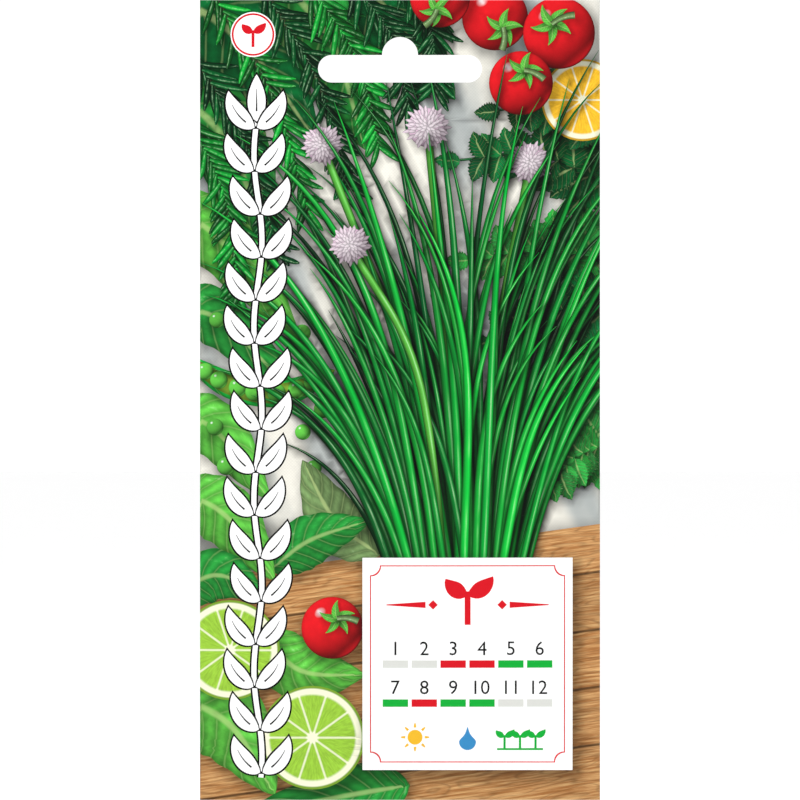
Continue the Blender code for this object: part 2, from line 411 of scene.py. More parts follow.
@dataclass(frozen=True)
class ChiveClump:
    """A growing clump of round, hollow leaves that fan out upwards, with a few flower heads.

    A head is given by the number of the blade that it follows, its place and its radius.
    """

    base: tuple[float, float] = (53.0, 34.0)
    foot_half: float = 9.5
    foot_scatter: float = 1.6
    foot_rise: tuple[float, float] = (-2.0, 4.0)
    blades: int = 150
    spread: float = 0.62
    lean_range: tuple[float, float] = (-1.08, 0.86)
    shortest: float = 58.0
    longest: float = 118.0
    droop: float = 0.75
    sway: float = 0.07
    half_width: float = 0.80
    points: int = 26
    heads: tuple[tuple[int, float, float, float], ...] = (
        (48, 66.0, 127.5, 4.6),
        (80, 24.5, 131.0, 4.4),
        (108, 45.5, 134.5, 4.9),
        (134, 30.0, 111.0, 4.3),
    )
    florets: int = 74
    seed: int = 11

    def draw(self, drawing: Drawing) -> None:
        """Adds the blades from the back to the front, with the flower stalks among them.

        Args:
            drawing: The drawing to add to.
        """
        rng = np.random.default_rng(self.seed)
        flowers = {number: ((x, y), radius) for number, x, y, radius in self.heads}
        for i in range(self.blades):
            self.blade(drawing, rng, i / (self.blades - 1))
            if i in flowers:
                self.flower(drawing, rng, *flowers[i])

    def blade(self, drawing: Drawing, rng: np.random.Generator, rank: float) -> None:
        """One blade: its heading leans further out towards the tip, and its tip droops a little.

        Args:
            drawing: The drawing to add to.
            rng: Random numbers.
            rank: From 0 for the rearmost blade to 1 for the foremost.
        """
        lean = self.spread * rng.uniform(*self.lean_range)
        length = rng.uniform(self.shortest, self.longest) * (1.06 - 0.42 * abs(lean))
        t = np.linspace(0, 1, self.points - 1)
        droop = np.sign(lean) * rng.uniform(0.0, self.droop) * t**3
        sway = rng.uniform(-self.sway, self.sway) * np.sin(t * rng.uniform(3, 6) + rng.uniform(0, 6))
        foot = self.base[0] + self.foot_half * lean / self.spread + rng.normal(0, self.foot_scatter)
        start = (foot, self.base[1] + rng.uniform(*self.foot_rise))
        spine = grown(start, lean * (0.32 + 0.72 * t) + droop + sway, length)
        along = np.linspace(0, 1, self.points)
        half = self.half_width * rng.uniform(0.78, 1.18) * (1 - along**3.2) ** 0.8
        tint = self.green(rng, rank)
        drawing.band(spine, half, Ink.BLADE, tint, tone=rng.uniform(), shade=0.68, reach=1.15)

    def green(self, rng: np.random.Generator, rank: float) -> Array:
        """A green between deep and bright, darker at the back of the clump.

        Args:
            rng: Random numbers.
            rank: From 0 for the rearmost blade to 1 for the foremost.

        Returns:
            A screen colour.
        """
        mix = np.clip(0.15 + 0.85 * rank + rng.normal(0, 0.22), 0, 1.15)
        green = np.asarray(DEEP_GREEN) * (1 - mix) + np.asarray(BRIGHT_GREEN) * mix
        green = green * rng.uniform(0.88, 1.12) * (0.42 + 0.58 * min(1.0, 2.6 * rank))
        return np.clip(green + np.array([rng.uniform(-8, 8), 0, 0]), 0, 255)

    def flower(
        self, drawing: Drawing, rng: np.random.Generator, head: tuple[float, float], radius: float
    ) -> None:
        """A stalk and a round head of narrow pointed florets, the outermost first.

        Each floret stands the golden angle on from the last, and is lit from the upper left.

        Args:
            drawing: The drawing to add to.
            rng: Random numbers.
            head: The head's middle.
            radius: The head's radius.
        """
        top = np.asarray(head)
        lean = (top[0] - self.base[0]) * 0.25
        points = 24
        path = [(self.base[0] + lean * 0.5, self.base[1]), (self.base[0] + 1.6 * lean, 84), top]
        stalk = resample(path, points)
        drawing.band(stalk, np.full(points, 0.8), Ink.BLADE, LIGHT_GREEN, tone=0.4, shade=0.5, reach=0.9)
        drawing.disc(head, radius * 0.8, Ink.FRUIT, BLOSSOM_SHADE, shade=0.5, reach=1.6)
        half = 0.40 * np.array([0.35, 0.85, 1.0, 0.7, 0.05])
        for k in range(self.florets):
            share = 1 - k / self.florets
            out = np.array([np.cos(k * GOLDEN_ANGLE), np.sin(k * GOLDEN_ANGLE)])
            start = top + out * radius * (share**0.6 * 0.78 - 0.12)
            length = radius * (0.26 + 0.12 * share) * rng.uniform(0.85, 1.15)
            way = out + rng.uniform(-0.3, 0.3) * np.array([-out[1], out[0]])
            spine = start + np.linspace(0, 1, len(half))[:, None] * length * way
            lit = np.clip(0.5 + 0.5 * (out[1] - out[0]) * share + 0.3 * (1 - share), 0, 1)
            tint = np.asarray(BLOSSOM) * (1 - 0.45 * share) + np.asarray(BLOSSOM_SHADE) * 0.45 * share
            drawing.band(spine, half, Ink.PETAL, tint * (0.62 + 0.38 * lit), tone=rng.uniform())


@dataclass(frozen=True)
class LeafSprig:
    """A stem with pairs of toothed leaves that get smaller towards its tip."""

    path: tuple[tuple[float, float], ...]
    tint: Colour
    leaf_length: float = 9.6
    leaf_half: float = 3.4
    pairs: int = 9
    teeth: float = 0.13
    seed: int = 1

    def draw(self, drawing: Drawing) -> None:
        """Adds the stem, the leaf pairs from the foot up, and the leaf at the tip.

        Args:
            drawing: The drawing to add to.
        """
        rng = np.random.default_rng(self.seed)
        points = 40
        stem = resample(self.path, points)
        half = np.linspace(0.55, 0.25, points)
        drawing.band(stem, half, Ink.BLADE, self.tint, tone=0.3, shade=0.4, reach=0.8)
        way = np.gradient(stem, axis=0)
        for k in range(self.pairs):
            share = k / self.pairs
            at = int(4 + share * 33)
            heading = np.arctan2(way[at, 0], way[at, 1])
            size = (1 - 0.5 * share) * rng.uniform(0.86, 1.12)
            for side in (-1, 1):
                lean = heading + side * rng.uniform(0.75, 1.15)
                self.leaf(drawing, rng, stem[at], lean + side * self.curl(), self.leaf_length * size)
        self.leaf(drawing, rng, stem[-1], heading + self.curl(), self.leaf_length * 0.55)

    def curl(self) -> Array:
        """How far a leaf's heading turns outwards, from its foot to its tip."""
        return 0.35 * np.linspace(0, 1, 19)

    def leaf(self, drawing: Drawing, rng: np.random.Generator, at: Array, lean: Array, length: float) -> None:
        """One leaf: widest below its middle, pointed, with teeth made by every second point of its edge.

        Args:
            drawing: The drawing to add to.
            rng: Random numbers.
            at: The leaf's foot.
            lean: Its heading at each step.
            length: Its length.
        """
        spine = grown(at, lean, length)
        along = np.linspace(0, 1, len(spine))
        teeth = 1 + self.teeth * np.where(np.arange(len(spine)) % 2, 1, -1)
        half = self.leaf_half * length / self.leaf_length * np.sin(np.pi * along**0.72) ** 0.85 * teeth
        tint = np.clip(np.asarray(self.tint) * rng.uniform(0.72, 1.3) + rng.uniform(-8, 14), 0, 255)
        drawing.band(spine, half, Ink.LEAF, tint, tone=rng.uniform(), shade=0.5, reach=1.3)


@dataclass(frozen=True)
class NeedleSprig:
    """A stem set all round with narrow needles."""

    path: tuple[tuple[float, float], ...]
    tint: Colour
    needles: int = 62
    length: float = 7.6
    needle_half: float = 0.62
    seed: int = 2

    def draw(self, drawing: Drawing) -> None:
        """Adds the stem, then the needles from the foot up, right and left in turn.

        Args:
            drawing: The drawing to add to.
        """
        rng = np.random.default_rng(self.seed)
        points = 60
        stem = resample(self.path, points)
        drawing.band(stem, np.full(points, 0.5), Ink.BLADE, GREY_GREEN, tone=0.2)
        way = np.gradient(stem, axis=0)
        for k in range(self.needles):
            at = int(2 + k / self.needles * 57)
            heading = np.arctan2(way[at, 0], way[at, 1]) + (-1) ** k * rng.uniform(0.25, 0.95)
            length = self.length * rng.uniform(0.8, 1.15) * (1 - 0.35 * k / self.needles)
            spine = grown(stem[at], heading + rng.uniform(-0.25, 0.25) * np.linspace(0, 1, 7), length)
            half = self.needle_half * np.sin(np.pi * np.linspace(0.08, 0.98, 8)) ** 0.5
            tint = np.asarray(self.tint) * rng.uniform(0.45, 1.1)
            drawing.band(spine, half, Ink.BLADE, tint, tone=rng.uniform(), shade=0.45, reach=0.7)


@dataclass(frozen=True)
class BroadLeaf:
    """One large smooth leaf with a midrib and side veins."""

    path: tuple[tuple[float, float], ...]
    half: float
    tint: Colour
    tone: float

    def draw(self, drawing: Drawing) -> None:
        """Adds the leaf: its half width is a sine of the way along it, with a faint wave.

        Args:
            drawing: The drawing to add to.
        """
        points = 34
        along = np.linspace(0, 1, points)
        half = self.half * np.sin(np.pi * along**0.8) ** 0.8 * (1 + 0.03 * np.sin(along * 40))
        spine = resample(self.path, points)
        drawing.band(spine, half, Ink.LEAF, self.tint, tone=self.tone, shade=0.5, reach=2.2)


@dataclass(frozen=True)
class Tomato:
    """A small round tomato with a five-pointed green calyx."""

    centre: tuple[float, float]
    radius: float
    calyx: tuple[float, float]
    turn: float
    tint: Colour = TOMATO_RED
    sepals: int = 5

    def draw(self, drawing: Drawing) -> None:
        """Adds the fruit, then the calyx as five narrow leaves and a short stalk.

        Args:
            drawing: The drawing to add to.
        """
        drawing.disc(self.centre, self.radius, Ink.FRUIT, self.tint, shade=0.6, reach=2.4)
        root = np.asarray(self.centre) + np.asarray(self.calyx) * self.radius
        for k in range(self.sepals):
            lean = self.turn + k * TAU / self.sepals
            spine = grown(root, lean + np.linspace(0, 0.8, 9), self.radius * 0.62)
            half = self.radius * 0.13 * np.sin(np.pi * np.linspace(0.12, 1, 10) ** 0.7)
            drawing.band(spine, half, Ink.LEAF, LIGHT_GREEN, tone=k / self.sepals, shade=0.45, reach=0.8)
        stalk = grown(root, self.turn + 0.5 + np.linspace(0, 0.6, 9), self.radius * 0.7)
        drawing.band(stalk, np.linspace(0.5, 0.75, 10), Ink.BLADE, GREY_GREEN, shade=0.4, reach=0.7)


@dataclass(frozen=True)
class PeaPod:
    """An open pod with round peas in it."""

    path: tuple[tuple[float, float], ...] = ((-3.0, 88.5), (6.0, 83.0), (17.0, 81.5), (27.0, 86.0))
    half: float = 2.9
    lining: float = 0.72
    peas: int = 7
    pea_radius: float = 1.95

    def draw(self, drawing: Drawing) -> None:
        """Adds the outer husk, its paler inside and the row of peas, which get smaller to both ends.

        Args:
            drawing: The drawing to add to.
        """
        points = 40
        spine = resample(self.path, points)
        half = self.half * np.sin(np.pi * np.linspace(0, 1, points)) ** 0.55
        drawing.band(spine, half, Ink.LEAF, BRIGHT_GREEN, tone=0.7, shade=0.55, reach=2.0)
        drawing.band(spine, self.lining * half, Ink.PETAL, YELLOW_GREEN, tone=0.3)
        for k in range(self.peas):
            radius = self.pea_radius - 0.09 * abs(k - self.peas // 2)
            drawing.disc(spine[int(6 + k * 4.6)], radius, Ink.FRUIT, LIGHT_GREEN, shade=0.5, reach=0.9)


@dataclass(frozen=True)
class LoosePeas:
    """Single peas that have rolled out over the cloth."""

    places: tuple[tuple[float, float], ...] = (
        (3.4, 96.0), (20.5, 93.4), (24.6, 78.2), (20.6, 73.6), (3.0, 74.6), (5.2, 66.8), (22.8, 66.4),
    )
    radius: float = 1.75

    def draw(self, drawing: Drawing) -> None:
        """Adds each pea as a shaded disc. Sizes and greens repeat every third and fourth pea.

        Args:
            drawing: The drawing to add to.
        """
        for k, place in enumerate(self.places):
            tint = np.asarray(LIGHT_GREEN) * (0.86 + 0.05 * (k % 4))
            drawing.disc(place, self.radius * (0.9 + 0.07 * (k % 3)), Ink.FRUIT, tint, shade=0.5, reach=1.5)


@dataclass(frozen=True)
class CitrusSlice:
    """A round slice of citrus: rind, white pith and segments."""

    centre: tuple[float, float]
    radius: float
    tint: Colour
    tone: float

    def draw(self, drawing: Drawing) -> None:
        """Adds the slice. Its rings and segments follow from its disc coordinates."""
        drawing.disc(self.centre, self.radius, Ink.CITRUS, self.tint, tone=self.tone, shade=0.55, reach=2.4)


@dataclass(frozen=True)
class LaurelColumn:
    """An upright branch ornament: white leaves in pairs on a wavy stem, each with a black outline."""

    middle: float = 11.6
    low: float = 4.5
    high: float = 146.0
    pitch: float = 8.6
    sway: float = 0.8
    stem_half: float = 0.5
    leaf_length: float = 9.4
    leaf_half: float = 1.8
    leaf_lean: float = 1.12
    leaf_bend: float = 1.0
    outline: float = 0.36

    def stem_at(self, y: Array | float) -> Array:
        """The stem's place across at a height: a sine whose period is four pairs of leaves."""
        return self.middle + self.sway * np.sin(np.asarray(y) * TAU / (4 * self.pitch))

    def draw(self, drawing: Drawing) -> None:
        """Adds the stem, then the tip and the pairs from the top down, each over the foot of the last.

        Args:
            drawing: The drawing to add to.
        """
        points = 150
        y = np.linspace(self.low, self.high - self.leaf_length, points)
        stem = np.stack([self.stem_at(y), y], 1)
        for grow, tint in ((self.outline, BLACK), (0.0, WHITE)):
            drawing.flat(ribbon(stem, np.full(points, self.stem_half + grow)), tint)
        self.leaf(drawing, stem[-2], 0.0, 0.0)
        places = np.arange(self.low + 1.0, self.high - self.leaf_length - 1.0, self.pitch)
        for height in places[::-1]:
            for side in (-1, 1):
                at = np.array([self.stem_at(height) + self.stem_half / 2 * side, height])
                self.leaf(drawing, at, side * self.leaf_lean, -side * self.leaf_bend)

    def leaf(self, drawing: Drawing, at: Array, lean: float, bend: float) -> None:
        """One leaf in black and then in white, and a short midrib line.

        The half width is a sine of the way along the leaf. The black leaf is wider by the outline
        everywhere, longer by it at the foot and by more at the tip.

        Args:
            drawing: The drawing to add to.
            at: The leaf's foot.
            lean: Its heading at the foot, in radians from straight up.
            bend: How far the heading turns from foot to tip.
        """
        t = np.linspace(0, 1, 23)
        spine = grown(at, lean + bend * t, self.leaf_length)
        half = self.leaf_half * np.sin(np.pi * np.linspace(0, 1, 24) ** 0.80) ** 0.85
        tip = lean + bend
        foot_end = spine[0] - self.outline * np.array([np.sin(lean), np.cos(lean)])
        tip_end = spine[-1] + 1.7 * self.outline * np.array([np.sin(tip), np.cos(tip)])
        wider = np.concatenate([[0.4 * self.outline], half + self.outline, [0.0]])
        drawing.flat(ribbon(np.vstack([foot_end, spine, tip_end]), wider), BLACK)
        drawing.flat(ribbon(spine, half), WHITE)
        drawing.flat(ribbon(spine[5:17], np.linspace(0.17, 0.05, 12)), BLACK)


@dataclass(frozen=True)
class Numerals:
    """Plain numbers, as filled outlines of Blender's own typeface."""

    height: float
    size_of_height: float = 1.36

    def outlines(self, text: str, centre: tuple[float, float]) -> tuple[Array, ...]:
        """The faces of the text, centred on a place.

        Args:
            text: The digits.
            centre: Where their middle goes, in millimetres.

        Returns:
            One small outline for each face of the filled text.
        """
        curve = bpy.data.curves.new("numeral", "FONT")
        curve.body = text
        curve.size = self.height * self.size_of_height
        curve.resolution_u = 3
        obj = bpy.data.objects.new("numeral", curve)
        mesh = bpy.data.meshes.new_from_object(obj)
        points = np.empty(len(mesh.vertices) * 3)
        mesh.vertices.foreach_get("co", points)
        points = points.reshape(-1, 3)[:, :2]
        points = points - (points.min(0) + points.max(0)) / 2 + np.asarray(centre)
        faces = tuple(points[list(face.vertices)] for face in mesh.polygons)
        bpy.data.objects.remove(obj)
        bpy.data.curves.remove(curve)
        bpy.data.meshes.remove(mesh)
        return faces


@dataclass(frozen=True)
class Seedling:
    """A pictogram of a seedling: two leaves on a stalk. Its size is about its height."""

    foot: tuple[float, float]
    size: float
    tint: Colour = SIGNAL_RED
    stalk: float = 0.62
    stalk_half: float = 0.055
    leaf_half: float = 0.15
    leaf_lengths: tuple[float, float] = (0.52, 0.60)

    def draw(self, drawing: Drawing) -> None:
        """Adds the stalk and its two leaves in plain ink, all in shares of the size.

        Args:
            drawing: The drawing to add to.
        """
        t = np.linspace(0, 1, 11)
        stalk = grown(self.foot, 0 * t, self.size * self.stalk)
        drawing.flat(ribbon(stalk, np.full(12, self.stalk_half * self.size)), self.tint)
        swell = np.sin(np.pi * np.linspace(0, 1, 12) ** 0.85) ** 0.8
        for side, length in zip((-1, 1), self.leaf_lengths):
            leaf = grown(stalk[-1] - (0, 0.06 * self.size), side * (1.35 - 0.8 * t), self.size * length)
            drawing.flat(ribbon(leaf, self.leaf_half * self.size * swell), self.tint)


@dataclass(frozen=True)
class Card:
    """The white panel: a thin red frame, a seedling between rules, a calendar and three pictograms."""

    left: float = 32.5
    low: float = 6.0
    right: float = 74.5
    high: float = 48.5
    border_inset: float = 1.5
    border_width: float = 0.22
    side_margin: float = 3.7
    row_high: float = 24.4
    row_pitch: float = 7.8
    picture_inset: float = 10.5

    def draw(self, drawing: Drawing) -> None:
        """Adds the panel, its frame, the seedling with its rules, the calendar and the pictograms.

        Args:
            drawing: The drawing to add to.
        """
        drawing.flat(plate(self.left, self.low, self.right, self.high), WHITE, shade=0.6, reach=2.6)
        self.border(drawing)
        middle = (self.left + self.right) / 2
        Seedling((middle, self.high - 13.4), 10.8).draw(drawing)
        for side in (-1, 1):
            self.rule(drawing, middle, self.high - 9.4, side)
        self.calendar(drawing)
        self.sun(drawing, (self.left + self.picture_inset, self.low + 6.6))
        self.drop(drawing, (middle, self.low + 6.2))
        self.row(drawing, (self.right - self.picture_inset, self.low + 4.4))

    def border(self, drawing: Drawing) -> None:
        """A frame line with notched corners: a red plate with a white one a line's width inside it.

        Args:
            drawing: The drawing to add to.
        """
        for grow, tint in ((0.0, SIGNAL_RED), (self.border_width, WHITE)):
            edge = self.border_inset + grow
            sides = (self.left + edge, self.low + edge, self.right - edge, self.high - edge)
            drawing.flat(plate(*sides, 2.0), tint)

    def rule(self, drawing: Drawing, middle: float, y: float, side: int) -> None:
        """A tapering bar with a small lozenge at its thick end.

        Args:
            drawing: The drawing to add to.
            middle: The card's middle.
            y: The rule's height.
            side: -1 for the rule on the left, 1 for the one on the right.
        """
        x = middle + side * np.linspace(8.4, 16.2, 12)
        drawing.flat(ribbon(np.stack([x, y + 0 * x], 1), np.linspace(0.62, 0.10, 12)), SIGNAL_RED)
        drawing.flat(ring((middle + side * 6.9, y), 0.95, 4), SIGNAL_RED)

    def calendar(self, drawing: Drawing) -> None:
        """Two rows of six months: the number, and below it a red bar to sow or a green one to cut.

        Args:
            drawing: The drawing to add to.
        """
        numerals = Numerals(2.9)
        columns = len(MONTHS) // 2
        across = (self.right - self.left - 2 * self.side_margin) / columns
        half = across * 0.44
        for month in MONTHS:
            row, column = divmod(month - 1, columns)
            x = self.left + self.side_margin + across * (column + 0.5)
            y = self.low + self.row_high - row * self.row_pitch
            drawing.motifs.append(Motif(numerals.outlines(str(month), (x, y)), Ink.FLAT, BLACK))
            tint = CALENDAR_GREY
            if month in SOW_MONTHS:
                tint = SIGNAL_RED
            elif month in CUT_MONTHS:
                tint = BRIGHT_GREEN
            drawing.flat(plate(x - half, y - 3.9, x + half, y - 2.4), tint)

    def sun(self, drawing: Drawing, centre: tuple[float, float]) -> None:
        """A sun: a yellow disc and eight short rays.

        Args:
            drawing: The drawing to add to.
            centre: The sun's middle.
        """
        drawing.flat(ring(centre, 1.5, 28), LEMON)
        for way in ring((0, 0), 1.0, 8):
            spine = np.asarray(centre) + np.linspace(1.95, 2.85, 3)[:, None] * way
            drawing.flat(ribbon(spine, np.array([0.26, 0.22, 0.10])), LEMON)

    def drop(self, drawing: Drawing, centre: tuple[float, float]) -> None:
        """A drop of water: a circle whose upper half is drawn out and narrowed to a point.

        With s the sine of the angle, clipped at 0, the height is multiplied by 1 + 0.75 times s to the
        6th, and the width by 1 - 0.72 times s to the power of 1.5.

        Args:
            drawing: The drawing to add to.
            centre: The drop's middle.
        """
        radius = 1.7
        cosine, sine = ring((0, 0), 1.0).T
        rise = np.clip(sine, 0, 1)
        wide = radius * cosine * (1 - 0.72 * rise**1.5)
        high = radius * sine * (1 + 0.75 * rise**6)
        drawing.flat(np.asarray(centre) - (0, 0.5) + np.stack([wide, high], 1), WATER_BLUE)

    def row(self, drawing: Drawing, foot: tuple[float, float]) -> None:
        """A row of three seedlings on a ground line.

        Args:
            drawing: The drawing to add to.
            foot: The line's middle.
        """
        x, y = foot
        drawing.flat(plate(x - 4.6, y - 0.4, x + 4.6, y), BRIGHT_GREEN)
        for k in (-1, 0, 1):
            Seedling((x + 3.1 * k, y), 4.2, BRIGHT_GREEN).draw(drawing)


@dataclass(frozen=True)
class RoundSeal:
    """A white disc with a red ring and a seedling."""

    centre: tuple[float, float] = (10.6, 153.1)
    radius: float = 4.5
    margin: float = 0.25
    ring_inset: float = 0.62

    def draw(self, drawing: Drawing) -> None:
        """Adds the white disc, the ring as a red disc with a white one in it, and the seedling.

        Args:
            drawing: The drawing to add to.
        """
        for inset, tint in ((0.0, WHITE), (self.margin, SIGNAL_RED), (self.ring_inset, WHITE)):
            drawing.flat(ring(self.centre, self.radius - inset, 56), tint)
        Seedling((self.centre[0], self.centre[1] - 2.5), 5.4).draw(drawing)


@dataclass(frozen=True)
class FrontArt:
    """The front print, which fills the sheet to its edges and a little past them."""

    width: float
    height: float
    table_left: float = 44.0
    table_right: float = 55.5

    def drawing(self) -> Drawing:
        """Stacks the motifs from the cloth up to the card.

        Returns:
            The drawing.
        """
        drawing = Drawing()
        right = self.width + BLEED
        ground = plate(-BLEED, -BLEED, right, self.height + BLEED)
        drawing.motifs.append(Motif((ground,), Ink.LINEN, LINEN))
        table = np.array(
            [[-BLEED, -BLEED], [right, -BLEED], [right, self.table_right], [-BLEED, self.table_left]]
        )
        drawing.motifs.append(Motif((table,), Ink.TABLE, TABLE, shade=0.5, reach=3.0))
        for motif in self.motifs():
            motif.draw(drawing)
        return drawing

    def motifs(self) -> list:
        """Every motif above the cloth and the table.

        Returns:
            The motifs in the order of printing.
        """
        return [
            *self.backing_leaves(),
            *self.corner_herbs(),
            *self.side_herbs(),
            CitrusSlice((76.5, 140.0), 8.2, LEMON, 0.1),
            Tomato((59.0, 156.5), 6.6, (0.25, -0.3), 2.4),
            Tomato((71.8, 153.4), 7.2, (-0.2, 0.25), 0.4),
            Tomato((64.2, 143.4), 6.4, (0.1, 0.4), 1.2),
            Tomato((48.0, 160.5), 6.0, (-0.1, -0.4), 3.0),
            PeaPod(),
            LoosePeas(),
            BroadLeaf(((36, 49), (27, 56), (20.5, 68)), 5.6, GREY_GREEN, 0.8),
            BroadLeaf(((14, 46), (22, 52), (34, 56)), 5.2, HERB_GREEN, 0.2),
            BroadLeaf(((-5, 62), (5, 57), (15, 44)), 6.4, LIGHT_GREEN, 0.6),
            BroadLeaf(((-6, 40), (3, 45), (13, 41)), 5.4, HERB_GREEN, 0.4),
            BroadLeaf(((-7, 22), (6, 15), (15, 1)), 8.2, LIGHT_GREEN, 0.3),
            BroadLeaf(((12, 34), (20, 26), (33, 25)), 6.2, LIGHT_GREEN, 0.9),
            BroadLeaf(((42, 3), (30, 1), (8, -3)), 6.0, HERB_GREEN, 0.1),
            CitrusSlice((6.0, 30.0), 10.0, YELLOW_GREEN, 0.6),
            CitrusSlice((22.5, 12.5), 10.4, YELLOW_GREEN, 0.3),
            Tomato((26.5, 34.5), 6.2, (0.15, 0.3), 0.9),
            ChiveClump(),
            LaurelColumn(),
            Card(),
            RoundSeal(),
        ]

    def backing_leaves(self) -> list:
        """Large dark leaves under the corner sprigs and along the left edge, so that little cloth shows.

        Returns:
            The leaves.
        """
        return [
            BroadLeaf(((-7, 162), (8, 152), (24, 131)), 9.0, DEEP_GREEN, 0.3),
            BroadLeaf(((12, 168), (26, 152), (33, 130)), 8.6, HERB_GREEN, 0.5),
            BroadLeaf(((-8, 144), (5, 132), (15, 108)), 8.4, HERB_GREEN, 0.7),
            BroadLeaf(((30, 168), (41, 153), (51, 140)), 6.8, DEEP_GREEN, 0.2),
            BroadLeaf(((-8, 120), (4, 112), (20, 92)), 6.6, LIGHT_GREEN, 0.4),
            BroadLeaf(((-7, 98), (4, 96), (20, 80)), 5.8, HERB_GREEN, 0.9),
            BroadLeaf(((-7, 78), (3, 74), (14, 60)), 5.8, LIGHT_GREEN, 0.1),
        ]

    def corner_herbs(self) -> list:
        """Needle sprigs that hang in from the upper left corner, each bent a little to the right.

        Returns:
            The sprigs.
        """
        feet = ((-2, 150), (2, 162), (12, 163), (22, 163), (30, 164), (-3, 138), (40, 166))
        tips = ((16, 108), (22, 117), (30, 122), (36, 130), (42, 138), (8, 100), (47, 142))
        sprigs = []
        for k, (foot, tip) in enumerate(zip(feet, tips)):
            bend = ((foot[0] + tip[0]) / 2 + 2.5, (foot[1] + tip[1]) / 2 + 1.5)
            tint = BRIGHT_GREEN if k % 2 else DEEP_GREEN
            sprigs.append(NeedleSprig((foot, bend, tip), tint, seed=20 + k))
        return sprigs

    def side_herbs(self) -> list:
        """Leafy sprigs that reach in from the right edge, each arched upwards.

        Returns:
            The sprigs.
        """
        feet = ((84, 122), (84, 108), (85, 96), (84, 84), (85, 134), (84, 72))
        tips = ((52, 128), (54, 108), (58, 92), (62, 74), (60, 138), (68, 62))
        sprigs = []
        for k, (foot, tip) in enumerate(zip(feet, tips)):
            bend = ((foot[0] + tip[0]) / 2, (foot[1] + tip[1]) / 2 + 4.0 - 2 * (k % 2))
            tint = HERB_GREEN if k % 2 else DEEP_GREEN
            sprigs.append(LeafSprig((foot, bend, tip), tint, seed=40 + k))
        return sprigs


